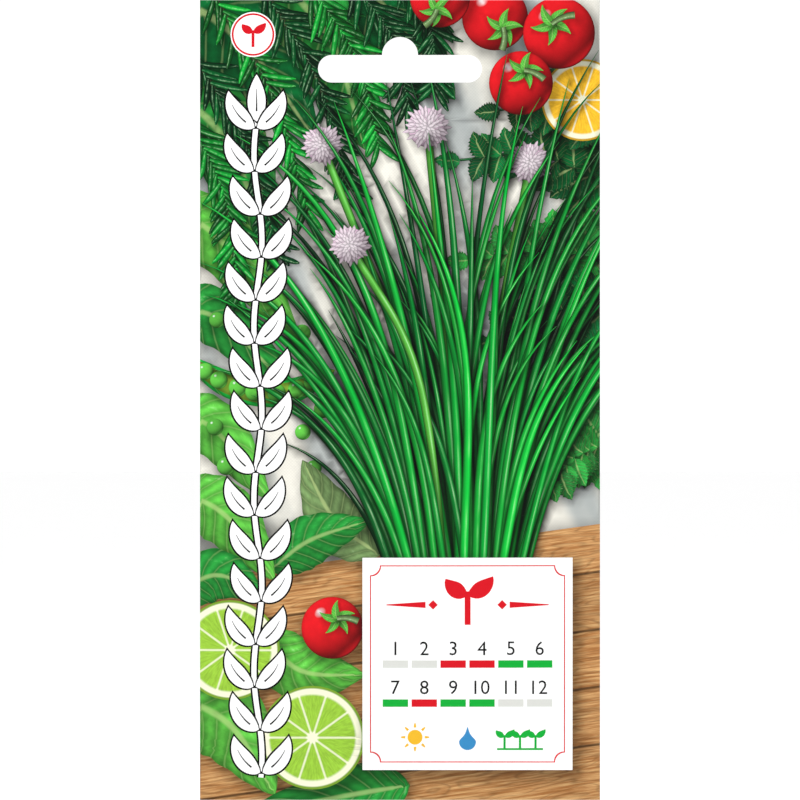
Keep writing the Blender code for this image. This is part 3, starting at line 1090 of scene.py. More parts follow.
@dataclass(frozen=True)
class BackArt:
    """The back print: pale green stock with a head and foot band, a clump, a calendar and pictograms."""

    width: float
    height: float
    head_low: float = 132.0
    head_rule: tuple[float, float] = (130.6, 131.4)
    foot_high: float = 8.5
    left: float = 7.0
    table_low: float = 46.0
    cell: float = 5.5
    line: float = 0.15
    rows: tuple[tuple[float, float], ...] = ((12.2, 18.0), (6.2, 11.9), (0.15, 5.9))
    panel_low: float = 18.0
    panel_height: float = 21.0
    panel_width: float = 20.2
    panel_pitch: float = 22.9
    notch: float = 1.6
    ground: float = 21.8
    pot_top: float = 29.0
    mound: tuple[float, float] = (40.0, 71.5)
    blades: int = 46
    seed: int = 5

    def drawing(self) -> Drawing:
        """Stacks the bands, the month table, the pictograms and the clump on the stock.

        Returns:
            The drawing.
        """
        drawing = Drawing()
        right, top = self.width + BLEED, self.height + BLEED
        drawing.flat(plate(-BLEED, -BLEED, right, top), BACK_STOCK)
        for low, high in ((self.head_low, top), self.head_rule, (-BLEED, self.foot_high)):
            drawing.flat(plate(-BLEED, low, right, high), HERB_GREEN)
        self.month_table(drawing)
        self.pictograms(drawing)
        self.clump(drawing)
        return drawing

    def month_table(self, drawing: Drawing) -> None:
        """Twelve columns of three cells: the number, red in months to sow, and green in months to cut.

        Args:
            drawing: The drawing to add to.
        """
        numerals = Numerals(2.2)
        numbers, sowing, cutting = self.rows
        low, frame = self.table_low, 2 * self.line
        right, top = self.left + len(MONTHS) * self.cell, low + numbers[1]
        drawing.flat(plate(self.left - frame, low - frame, right + frame, top + frame), HERB_GREEN)
        for month in MONTHS:
            x = self.left + (month - 1) * self.cell
            left, right = x + self.line, x + self.cell - self.line
            drawing.flat(plate(left, low + numbers[0], right, low + numbers[1]), WHITE)
            middle = (x + self.cell / 2, low + sum(numbers) / 2)
            drawing.motifs.append(Motif(numerals.outlines(str(month), middle), Ink.FLAT, BLACK))
            sow = SIGNAL_RED if month in SOW_MONTHS else WHITE
            cut = LIGHT_GREEN if month in CUT_MONTHS else WHITE
            drawing.flat(plate(left, low + sowing[0], right, low + sowing[1]), sow)
            drawing.flat(plate(left, low + cutting[0], right, low + cutting[1]), cut)

    def pictograms(self, drawing: Drawing) -> None:
        """Three framed pictograms: a seedling, a pot with a seedling, and a row of seedlings.

        Args:
            drawing: The drawing to add to.
        """
        low, high, ground = self.panel_low, self.panel_low + self.panel_height, self.ground
        half, line = self.panel_width / 2, 0.4
        middles = [self.left + half + k * self.panel_pitch for k in range(3)]
        for x in middles:
            drawing.flat(plate(x - half, low, x + half, high, self.notch), HERB_GREEN)
            inner = plate(x - half + line, low + line, x + half - line, high - line, self.notch)
            drawing.flat(inner, WHITE)
            drawing.flat(plate(x - 7.6, ground - 0.6, x + 7.6, ground), GREY)
        first, pot, third = middles
        Seedling((first, ground), 14.0, HERB_GREEN).draw(drawing)
        across = pot + np.array([-3.4, 3.4, 5.0, -5.0])
        drawing.flat(np.stack([across, (ground, ground, self.pot_top, self.pot_top)], 1), CLAY)
        rim = self.pot_top + 1.4
        drawing.flat(plate(pot - 5.6, self.pot_top - 0.6, pot + 5.6, rim), SOIL)
        Seedling((pot, rim), 8.0, HERB_GREEN).draw(drawing)
        for k in (-1, 0, 1):
            Seedling((third + 5.3 * k, ground), 6.6, HERB_GREEN).draw(drawing)

    def clump(self, drawing: Drawing) -> None:
        """A clump of blades in two greens on a mound of soil, above the table.

        Args:
            drawing: The drawing to add to.
        """
        x, y = self.mound
        drawing.flat(ring((0, 0), 1.0, 48) * (21.0, 3.2) + self.mound, SOIL)
        rng = np.random.default_rng(self.seed)
        for k in range(self.blades):
            lean = rng.uniform(-0.75, 0.75)
            t = np.linspace(0, 1, 15)
            foot = (x + 12 * lean, y + 1 + rng.uniform(-1.6, 1.6))
            spine = grown(foot, lean * (0.3 + 0.9 * t), rng.uniform(34, 52) * (1 - 0.3 * abs(lean)))
            half = 0.7 * (1 - np.linspace(0, 1, 16) ** 2.5)
            tint = LIGHT_GREEN if k % 3 else HERB_GREEN
            drawing.band(spine, half, Ink.BLADE, tint, tone=rng.uniform(), shade=0.22, reach=0.4)


# Shader graphs


class Signal:
    """A number in a shader graph that can be used in sums, products and powers."""

    def __init__(self, graph: Graph, socket: bpy.types.NodeSocket) -> None:
        """Wraps an output socket of the graph."""
        self.graph = graph
        self.socket = socket

    def __add__(self, other: Signal | float) -> Signal:
        """The sum."""
        return self.graph.math("ADD", self, other)

    def __radd__(self, other: Signal | float) -> Signal:
        """The sum, from the right."""
        return self.graph.math("ADD", other, self)

    def __sub__(self, other: Signal | float) -> Signal:
        """The difference."""
        return self.graph.math("SUBTRACT", self, other)

    def __rsub__(self, other: Signal | float) -> Signal:
        """The difference, from the right."""
        return self.graph.math("SUBTRACT", other, self)

    def __mul__(self, other: Signal | float) -> Signal:
        """The product."""
        return self.graph.math("MULTIPLY", self, other)

    def __rmul__(self, other: Signal | float) -> Signal:
        """The product, from the right."""
        return self.graph.math("MULTIPLY", other, self)

    def __truediv__(self, other: Signal | float) -> Signal:
        """The quotient."""
        return self.graph.math("DIVIDE", self, other)

    def __rtruediv__(self, other: Signal | float) -> Signal:
        """The quotient, from the right."""
        return self.graph.math("DIVIDE", other, self)

    def __pow__(self, power: float) -> Signal:
        """The power."""
        return self.graph.math("POWER", self, power)

    def step(self, low: float, high: float, start: Signal | float = 0.0, end: Signal | float = 1.0) -> Signal:
        """A smooth step, level at both ends.

        Args:
            low: Where the step starts. It may also be the greater of the two places.
            high: Where the step ends.
            start: The value at low and before it.
            end: The value at high and past it.

        Returns:
            The step's value.
        """
        inputs = {"Value": self, "From Min": low, "From Max": high, "To Min": start, "To Max": end}
        node = self.graph.node("ShaderNodeMapRange", {"interpolation_type": "SMOOTHSTEP"}, inputs)
        return Signal(self.graph, node.outputs["Result"])


class Graph:
    """A node tree, to which every node is added by one method."""

    def __init__(self, tree: bpy.types.NodeTree) -> None:
        """Wraps a node tree."""
        self.tree = tree

    def node(self, kind: str, settings: dict | None = None, inputs: dict | None = None) -> bpy.types.Node:
        """Adds a node, sets its settings and then its sockets.

        Args:
            kind: The node's type.
            settings: Its attributes. For a ramp, "stops" holds pairs of place and grey value.
            inputs: Values, sockets or signals by socket name or number.

        Returns:
            The node.
        """
        made = self.tree.nodes.new(kind)
        for name, value in (settings or {}).items():
            if name == "stops":
                self.fill_ramp(made.color_ramp, value)
            else:
                setattr(made, name, value)
        for key, value in (inputs or {}).items():
            self.feed(made.inputs[key], value)
        return made

    def feed(self, socket: bpy.types.NodeSocket, value: object) -> None:
        """Links a signal or a socket to an input socket, or sets its value.

        Args:
            socket: The input socket.
            value: A signal, an output socket or a plain value.
        """
        if isinstance(value, Signal):
            value = value.socket
        if isinstance(value, bpy.types.NodeSocket):
            self.tree.links.new(value, socket)
        else:
            socket.default_value = value

    @staticmethod
    def fill_ramp(ramp: bpy.types.ColorRamp, stops: Sequence[tuple[float, float]]) -> None:
        """Sets a grey ramp's stops.

        Args:
            ramp: The ramp.
            stops: Pairs of place and value.
        """
        while len(ramp.elements) < len(stops):
            ramp.elements.new(0.5)
        for element, (place, value) in zip(ramp.elements, stops):
            element.position = place
            element.color = (value, value, value, 1)

    def math(self, operation: str, *values: Signal | float) -> Signal:
        """Adds one Math node on these values, in order."""
        node = self.node("ShaderNodeMath", {"operation": operation}, dict(enumerate(values)))
        return Signal(self, node.outputs["Value"])

    def ramp(self, value: Signal, stops: Sequence[tuple[float, float]]) -> Signal:
        """A curve of straight pieces through the stops."""
        node = self.node("ShaderNodeValToRGB", {"stops": stops}, {"Fac": value})
        return Signal(self, node.outputs["Color"])

    def vector(self, x: Signal | float, y: Signal | float, z: Signal | float = 0.0) -> bpy.types.NodeSocket:
        """Three numbers as a vector."""
        return self.node("ShaderNodeCombineXYZ", None, {"X": x, "Y": y, "Z": z}).outputs["Vector"]

    def noise(
        self, vector: bpy.types.NodeSocket, scale: float, detail: float = 3.0, rough: float = 0.55
    ) -> Signal:
        """Smooth random values round 0.5."""
        inputs = {"Vector": vector, "Scale": scale, "Detail": detail, "Roughness": rough}
        return Signal(self, self.node("ShaderNodeTexNoise", None, inputs).outputs["Fac"])

    def scaled(self, colour: bpy.types.NodeSocket | Colour, amount: Signal | float) -> bpy.types.NodeSocket:
        """A colour times a number."""
        inputs = {0: colour, "Scale": amount}
        return self.node("ShaderNodeVectorMath", {"operation": "SCALE"}, inputs).outputs["Vector"]

    def mixed(
        self, share: Signal | float, low: bpy.types.NodeSocket | Colour, high: bpy.types.NodeSocket | Colour
    ) -> bpy.types.NodeSocket:
        """A blend of two colours.

        Args:
            share: From 0 for the low colour to 1 for the high one.
            low: The first colour.
            high: The second colour.

        Returns:
            The blended colour.
        """
        node = self.node("ShaderNodeMix", {"data_type": "RGBA"}, {"Factor": share})
        for name, value in (("A", low), ("B", high)):
            socket = next(s for s in node.inputs if s.name == name and s.type == "RGBA")
            self.feed(socket, (*value, 1.0) if isinstance(value, tuple) else value)
        return next(s for s in node.outputs if s.type == "RGBA")


class SurfaceGraph(Graph):
    """A material's node tree, with a Principled shader at its end."""

    def __init__(self, name: str, roughness: float) -> None:
        """Makes the material and sets what is the same all over it.

        Args:
            name: The material's name.
            roughness: Its roughness.
        """
        self.material = bpy.data.materials.new(name)
        self.material.use_nodes = True
        super().__init__(self.material.node_tree)
        self.shader = self.tree.nodes["Principled BSDF"]
        self.shader.inputs["Roughness"].default_value = roughness
        self.shader.inputs["Specular IOR Level"].default_value = SPECULAR_LEVEL

    def chart(self) -> tuple[Signal, Signal]:
        """The two local coordinates that the face's motif gives."""
        node = self.node("ShaderNodeUVMap", {"uv_map": "Chart"})
        parts = self.node("ShaderNodeSeparateXYZ", None, {"Vector": node.outputs["UV"]})
        return Signal(self, parts.outputs["X"]), Signal(self, parts.outputs["Y"])

    def tint(self) -> tuple[bpy.types.NodeSocket, Signal]:
        """The motif's colour and its tone, a number of its own."""
        node = self.node("ShaderNodeAttribute", {"attribute_name": "Tint"})
        return node.outputs["Color"], Signal(self, node.outputs["Alpha"])

    def shading(self) -> Signal:
        """How much light the motifs above leave here."""
        return Signal(self, self.node("ShaderNodeAttribute", {"attribute_name": "Shade"}).outputs["Fac"])

    def place(self) -> bpy.types.NodeSocket:
        """Object coordinates, in metres."""
        return self.node("ShaderNodeTexCoord").outputs["Object"]

    def bump(self, height: Signal, distance: float, strength: float) -> None:
        """Raises the surface by a height times a distance in metres, in the shading only."""
        inputs = {"Height": height, "Distance": distance, "Strength": strength}
        self.feed(self.shader.inputs["Normal"], self.node("ShaderNodeBump", None, inputs).outputs["Normal"])

    def finish(self, colour: bpy.types.NodeSocket) -> bpy.types.Material:
        """Feeds the shader its colour and returns the material."""
        self.feed(self.shader.inputs["Base Color"], colour)
        return self.material


@dataclass(frozen=True)
class Finish:
    """A printed finish: coated paper, slightly wavy, with an ink's own pattern of colour."""

    name: str
    roughness: float = 0.48
    wave_size: float = 60.0
    wave_height: float = 0.00025
    tooth_size: float = 1400.0
    tooth_height: float = 0.000004
    bump_strength: float = 0.6

    def pattern(self, graph: SurfaceGraph) -> bpy.types.NodeSocket:
        """The ink's colour before shading: the motif's tint with a faint grain.

        Args:
            graph: The material's graph.

        Returns:
            The colour.
        """
        tint, _ = graph.tint()
        grain = graph.noise(graph.place(), 2600.0, 2.0)
        return graph.scaled(tint, grain * 0.06 + 0.97)

    def material(self) -> bpy.types.Material:
        """The whole material: pattern times shading, and the paper's waves and tooth as bump.

        Returns:
            The material.
        """
        graph = SurfaceGraph(self.name, self.roughness)
        colour = graph.scaled(self.pattern(graph), graph.shading())
        place = graph.place()
        waves = graph.noise(place, self.wave_size, 1.0)
        tooth = graph.noise(place, self.tooth_size, 2.0)
        graph.bump(waves * self.wave_height + tooth * self.tooth_height, 1.0, self.bump_strength)
        return graph.finish(colour)


@dataclass(frozen=True)
class BladeInk(Finish):
    """Round hollow leaves: a light streak off the middle, dark edges and fine lengthwise streaks."""

    roundness: tuple[tuple[float, float], ...] = (
        (0.0, 0.05), (0.10, 0.28), (0.30, 0.90), (0.39, 1.0), (0.60, 0.62), (0.85, 0.27), (1.0, 0.04),
    )
    strength: float = 1.6
    glint: float = 0.62

    def pattern(self, graph: SurfaceGraph) -> bpy.types.NodeSocket:
        """Tint times roundness and streaks, held back where bright: level over (0.92 plus 0.22 level).

        The glint lies where the roundness and both sorts of streaks are light.

        Args:
            graph: The material's graph.

        Returns:
            The colour.
        """
        tint, tone = graph.tint()
        across, along = graph.chart()
        body = graph.ramp(across * 0.5 + 0.5, self.roundness)
        fine = graph.noise(graph.vector(across * 3.2, along * 5.0, tone * 57.0), 1.6, 4.0, 0.65)
        broad = graph.noise(graph.vector(along * 7.0, tone * 31.0), 1.0, 2.0)
        level = body * self.strength * (fine * 0.9 + 0.55) * (broad * 0.7 + 0.65)
        glint = body.step(0.72, 1.0) * fine.step(0.36, 0.62) * broad.step(0.34, 0.62)
        colour = graph.scaled(tint, level / (level * 0.22 + 0.92))
        return graph.mixed(glint * self.glint, colour, linear(BLADE_GLINT))


@dataclass(frozen=True)
class LeafInk(Finish):
    """Broad leaves: a midrib, slanted side veins, puffed fields between them and a fold of light."""

    veins: float = 8.0
    slant: float = 1.6

    def pattern(self, graph: SurfaceGraph) -> bpy.types.NodeSocket:
        """Tint times field shading, with paler veins; one half of the blade is lit more.

        The veins lie where a saw of the way along, less the slant times the way off the midrib, is low.

        Args:
            graph: The material's graph.

        Returns:
            The colour.
        """
        tint, tone = graph.tint()
        across, along = graph.chart()
        off = graph.math("ABSOLUTE", across)
        saw = graph.math("PINGPONG", along * self.veins - off * self.slant + tone * 3.0, 0.5)
        vein = saw.step(0.0, 0.10, 1.0, 0.0)
        midrib = off.step(0.03, 0.12, 1.0, 0.0)
        patch = graph.noise(graph.vector(across * 2.0, along * 5.0, tone * 40.0), 2.2, 4.0, 0.6)
        fold = across.step(-0.25, 0.25, 0.72, 1.12)
        puff = saw.step(0.0, 0.5, 0.72, 1.2)
        colour = graph.scaled(tint, puff * fold * (patch * 1.1 + 0.45) * off.step(0.75, 1.0, 1.0, 0.55))
        pale = graph.mixed(0.55, tint, linear(LEAF_VEIN))
        colour = graph.mixed(graph.math("MAXIMUM", vein * 0.26, midrib * 0.7), colour, pale)
        glint = patch.step(0.60, 0.82) * fold.step(0.8, 1.1) * 0.35
        return graph.mixed(glint, colour, linear(LEAF_GLINT))


@dataclass(frozen=True)
class FruitInk(Finish):
    """Round things: light from the upper left, a dark limb, a sharp glint and a faint second light."""

    def pattern(self, graph: SurfaceGraph) -> bpy.types.NodeSocket:
        """Tint times the light on a half sphere, whose normal is (x, y, square root of 1 - x² - y²).

        The disc's own turn is taken back first, so that the light comes from the same side on all.

        Args:
            graph: The material's graph.

        Returns:
            The colour.
        """
        tint, tone = graph.tint()
        s, t = graph.chart()
        cosine, sine = graph.math("COSINE", tone * TAU), graph.math("SINE", tone * TAU)
        x, y = s * cosine - t * sine, s * sine + t * cosine
        depth = graph.math("MAXIMUM", 1.0 - (x * x + y * y), 0.0) ** 0.5
        light = x * -0.46 + y * 0.52 + depth * 0.72
        rim = (x * 0.60 - y * 0.66).step(0.62, 0.86) * depth.step(0.12, 0.42)
        mottle = graph.noise(graph.vector(x * 2.0, y * 2.0, tone * 9.0), 1.4, 3.0)
        level = light.step(-0.35, 1.0, 0.16, 1.28) * (mottle * 0.35 + 0.82) * depth.step(0.0, 0.35, 0.5, 1.0)
        colour = graph.mixed(rim * 0.5, graph.scaled(tint, level), graph.scaled(tint, 1.25))
        window = (x * -0.40 + y * 0.50 + depth * 0.76).step(0.970, 0.997)
        cross = x * 0.9 + y * 0.75
        bar = cross.step(-0.12, 0.0) * cross.step(0.12, 0.0)
        return graph.mixed(window * (bar * 0.35 + 0.5), colour, linear(WHITE))


@dataclass(frozen=True)
class CitrusInk(Finish):
    """A cut citrus: rind, pith, ten segments with membranes, and juicy radial streaks."""

    segments: int = 10

    def pattern(self, graph: SurfaceGraph) -> bpy.types.NodeSocket:
        """Rings by the distance from the centre, segments by the angle round it.

        A membrane lies where a saw of the angle, times the distance, is low, so it is as wide all along.

        Args:
            graph: The material's graph.

        Returns:
            The colour.
        """
        tint, tone = graph.tint()
        s, t = graph.chart()
        far = (s * s + t * t) ** 0.5
        angle = graph.math("ARCTAN2", t, s)
        wall = graph.math("PINGPONG", angle * (self.segments / TAU) + self.segments, 0.5) * far
        pulp = graph.noise(graph.vector(angle * 7.0, far * 2.2, tone * 13.0), 2.6, 4.0, 0.6)
        membrane = wall.step(0.012, 0.05, 1.0, 0.0)
        core = far.step(0.06, 0.14, 1.0, 0.0)
        pith = far.step(0.80, 0.86) + membrane * 0.8 + core
        flesh = graph.scaled(tint, pulp * 1.1 + 0.5)
        colour = graph.mixed(graph.math("MINIMUM", pith, 1.0), flesh, linear(CITRUS_PITH))
        return graph.mixed(far.step(0.93, 0.965), colour, graph.scaled(tint, 0.62))


@dataclass(frozen=True)
class PetalInk(Finish):
    """Petals and pod linings: soft lengthwise streaks, darker edges and foot."""

    def pattern(self, graph: SurfaceGraph) -> bpy.types.NodeSocket:
        """Tint times an across curve and a rise from foot to tip.

        Args:
            graph: The material's graph.

        Returns:
            The colour.
        """
        tint, tone = graph.tint()
        across, along = graph.chart()
        off = graph.math("ABSOLUTE", across)
        fine = graph.noise(graph.vector(across * 3.0, along * 2.0, tone * 21.0), 1.8, 2.0)
        level = off.step(0.35, 1.0, 1.0, 0.42) * along.step(0.0, 0.6, 0.72, 1.05) * (fine * 0.3 + 0.86)
        return graph.scaled(tint, level)


@dataclass(frozen=True)
class LinenInk(Finish):
    """A pale linen cloth in soft light: threads both ways and broad shallow folds."""

    thread: float = 0.62

    def pattern(self, graph: SurfaceGraph) -> bpy.types.NodeSocket:
        """Tint times two sets of thread waves and the light on the folds, cooler in the folds.

        Args:
            graph: The material's graph.

        Returns:
            The colour.
        """
        tint, _ = graph.tint()
        x, y = graph.chart()
        wander = graph.noise(graph.vector(x, y), 0.35, 3.0) * 1.3
        weft = graph.math("SINE", x * (TAU / self.thread) + wander * 4.0)
        warp = graph.math("SINE", y * (TAU / self.thread) + wander * 3.0)
        slub = graph.noise(graph.vector(x * 0.5, y * 4.0), 1.0, 2.0)
        fold = graph.noise(graph.vector(x * 0.9 + y * 0.35, y * 0.25 - x * 0.08), 0.085, 2.5, 0.45)
        broad = fold.step(0.30, 0.66, 0.70, 1.08)
        cool = graph.mixed(broad.step(0.7, 1.0), linear(LINEN_SHADE), tint)
        return graph.scaled(cool, broad * (weft * warp * 0.045 + slub * 0.10 + 0.94))


@dataclass(frozen=True)
class TableInk(Finish):
    """A wooden table top: planks side by side with long grain, growth lines and dark joints."""

    plank: float = 11.5
    slope: float = 0.14

    def pattern(self, graph: SurfaceGraph) -> bpy.types.NodeSocket:
        """Tint times plank tone, grain and joint lines, on coordinates sheared with the table's edge.

        The growth lines are a saw of a slow noise and the way across the plank.

        Args:
            graph: The material's graph.

        Returns:
            The colour.
        """
        tint, _ = graph.tint()
        x, y = graph.chart()
        down = y - x * self.slope
        row = down / self.plank
        number = graph.math("FLOOR", row)
        shift = number * 37.7
        grain = graph.noise(graph.vector(x * 0.10 + shift, down * 2.1), 1.0, 5.0, 0.62)
        bend = graph.noise(graph.vector(x * 0.045 + shift, down * 0.20), 1.0, 2.0)
        growth = graph.math("PINGPONG", bend * 26.0 + down * 0.8, 1.0).step(0.0, 0.55, 0.74, 1.0)
        plank_tone = graph.noise(graph.vector(shift, 3.1), 1.0, 0.0) * 0.6 + 0.7
        joint = graph.math("PINGPONG", row - number, 0.5).step(0.008, 0.035, 0.28, 1.0)
        level = (grain * 0.9 + 0.52) * growth * plank_tone * joint
        warm = graph.mixed(grain.step(0.35, 0.7), linear(TABLE_SHADE), tint)
        return graph.scaled(warm, level * 1.12)


@dataclass(frozen=True)
class PaperStock(Finish):
    """Bare white paper, as on the cut edges and inside."""

    roughness: float = 0.62

    def pattern(self, graph: SurfaceGraph) -> bpy.types.NodeSocket:
        """A warm white with a fine fibre grain."""
        fibre = graph.noise(graph.place(), 3200.0, 3.0)
        return graph.scaled(linear(PAPER_WHITE), fibre * 0.10 + 0.94)


@dataclass(frozen=True)
class SeedCoat:
    """Dull dark seed coats, mottled and finely wrinkled."""

    name: str
    roughness: float = 0.6
    dark: Colour = (0.010, 0.009, 0.009)
    brown: Colour = (0.045, 0.034, 0.026)
    wrinkle_height: float = 0.00008

    def material(self) -> bpy.types.Material:
        """Near black with brown mottling, and wrinkles as bump.

        Returns:
            The material.
        """
        graph = SurfaceGraph(self.name, self.roughness)
        place = graph.place()
        mottle = graph.noise(place, 900.0, 3.0)
        wrinkle = graph.noise(place, 3600.0, 3.0)
        graph.bump(wrinkle, self.wrinkle_height, 0.8)
        return graph.finish(graph.mixed(mottle.step(0.45, 0.75), self.dark, self.brown))


def ink_materials() -> list[bpy.types.Material]:
    """One material for each ink.

    Returns:
        The materials in the order of the Ink enum.
    """
    finishes = {
        Ink.FLAT: Finish("flat_ink"),
        Ink.BLADE: BladeInk("blade_ink"),
        Ink.LEAF: LeafInk("leaf_ink"),
        Ink.FRUIT: FruitInk("fruit_ink"),
        Ink.CITRUS: CitrusInk("citrus_ink"),
        Ink.PETAL: PetalInk("petal_ink"),
        Ink.LINEN: LinenInk("linen_ink"),
        Ink.TABLE: TableInk("table_ink"),
        Ink.STOCK: PaperStock("paper_stock"),
    }
    return [finishes[ink].material() for ink in Ink]


# The packet


@dataclass(frozen=True)
class PacketForm:
    """The packet's shape: sizes in millimetres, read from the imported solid."""

    left: float
    low: float
    width: float
    height: float
    sealed_half: float = 0.15
    fold_radius: float = 0.15
    fold_lines: tuple[float, ...] = (0.02, 0.06, 0.11, 0.15)
    fold_half: float = 0.012
    closed_half: float = 0.0024
    paper: float = 0.13
    deepest: float = 2.24
    header: float = 24.0
    bottom_seal: float = 9.0
    seal_rises: tuple[float, ...] = (0.0, 0.35, 0.9, 1.8, 3.2)
    fullest_power: float = 0.62
    lap_half: float = 4.0
    lap_ramp: float = 4.0
    lap_gap: float = 0.05
    lap_flare: float = 0.26
    flare_width: float = 3.0
    flare_end: float = 8.0
    flare_wave: float = 9.0
    slot_width: float = 32.8
    slot_height: float = 5.5
    bump_radius: float = 3.6
    slot_below_edge: float = 11.0

    @classmethod
    def from_frame(cls) -> PacketForm:
        """Reads the packet's place and size from the frame."""
        low, high = (np.asarray(corner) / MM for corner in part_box("packet"))
        return cls(low[0], low[2], high[0] - low[0], high[2] - low[2])

    def depth(self, x: Array, y: Array) -> Array:
        """How far a panel stands off the middle plane: a parabola across, a skewed sine along.

        Args:
            x: Places across, from the left edge.
            y: Places up, from the lower edge.

        Returns:
            The pouch's half depth.
        """
        across = np.clip(1 - (2 * x / self.width - 1) ** 2, 0, 1)
        pouch = self.height - self.header - self.bottom_seal
        up = np.clip((y - self.bottom_seal) / pouch, 0, 1)
        return self.deepest * across * np.sin(np.pi * up**self.fullest_power)

    def panel(self, x: Array, y: Array) -> Array:
        """Half thickness at a place of the outer skin, with the rounded side folds.

        Args:
            x: Places across, from the left edge.
            y: Places up, from the lower edge.

        Returns:
            The distance from the middle plane.
        """
        edge = np.minimum(x, self.width - x)
        turn = np.clip(1 - edge / self.fold_radius, 0, 1)
        rounding = np.sqrt(1 - turn**2)
        half = self.fold_half + (self.sealed_half - self.fold_half) * rounding
        return half + self.depth(x, y)

    def lapped(self, x: Array, y: Array) -> Array:
        """Half thickness of the outer flap's skin: the panel, lifted over the inner flap.

        The lift fades over a ramp, and the free edge stands off a little more along the pouch.

        Args:
            x: Places across, from the left edge.
            y: Places up, from the lower edge.

        Returns:
            The distance from the middle plane.
        """
        ramp_start = self.width / 2 + self.lap_half
        free_edge = self.width / 2 - self.lap_half
        pouch_top = self.height - self.header
        ramp = 1 - smooth(ramp_start, ramp_start + self.lap_ramp, x)
        above_seal = smooth(self.bottom_seal, self.bottom_seal + self.flare_end, y)
        open_part = above_seal * smooth(pouch_top, pouch_top - self.flare_end, y)
        free = 1 - smooth(free_edge, free_edge + self.flare_width, x)
        flare = self.lap_flare * free * open_part * (0.75 + 0.25 * np.sin(y / self.flare_wave))
        return self.panel(x, y) + ramp * (self.paper + self.lap_gap) + flare

    def bends(self) -> list[float]:
        """Heights where a panel bends sharply: both seal lines, and the steep rise above the lower one."""
        return [self.bottom_seal + rise for rise in self.seal_rises] + [self.height - self.header]

    def slot(self) -> Array:
        """The slot's outline, anticlockwise: two round ends and a half-round bump on top.

        Returns:
            The outline's points.
        """
        middle = self.width / 2
        top = self.height - self.slot_below_edge
        end = self.slot_height / 2
        reach = self.slot_width / 2 - end
        arcs = (
            (middle + reach, top - end, end, -90, 90),
            (middle, top, self.bump_radius, 0, 180),
            (middle - reach, top - end, end, 90, 270),
        )
        parts = []
        for x, y, radius, start, stop in arcs:
            a = np.radians(np.linspace(start, stop, 25))
            parts.append(np.stack([x + radius * np.cos(a), y + radius * np.sin(a)], 1))
        return np.vstack(parts)


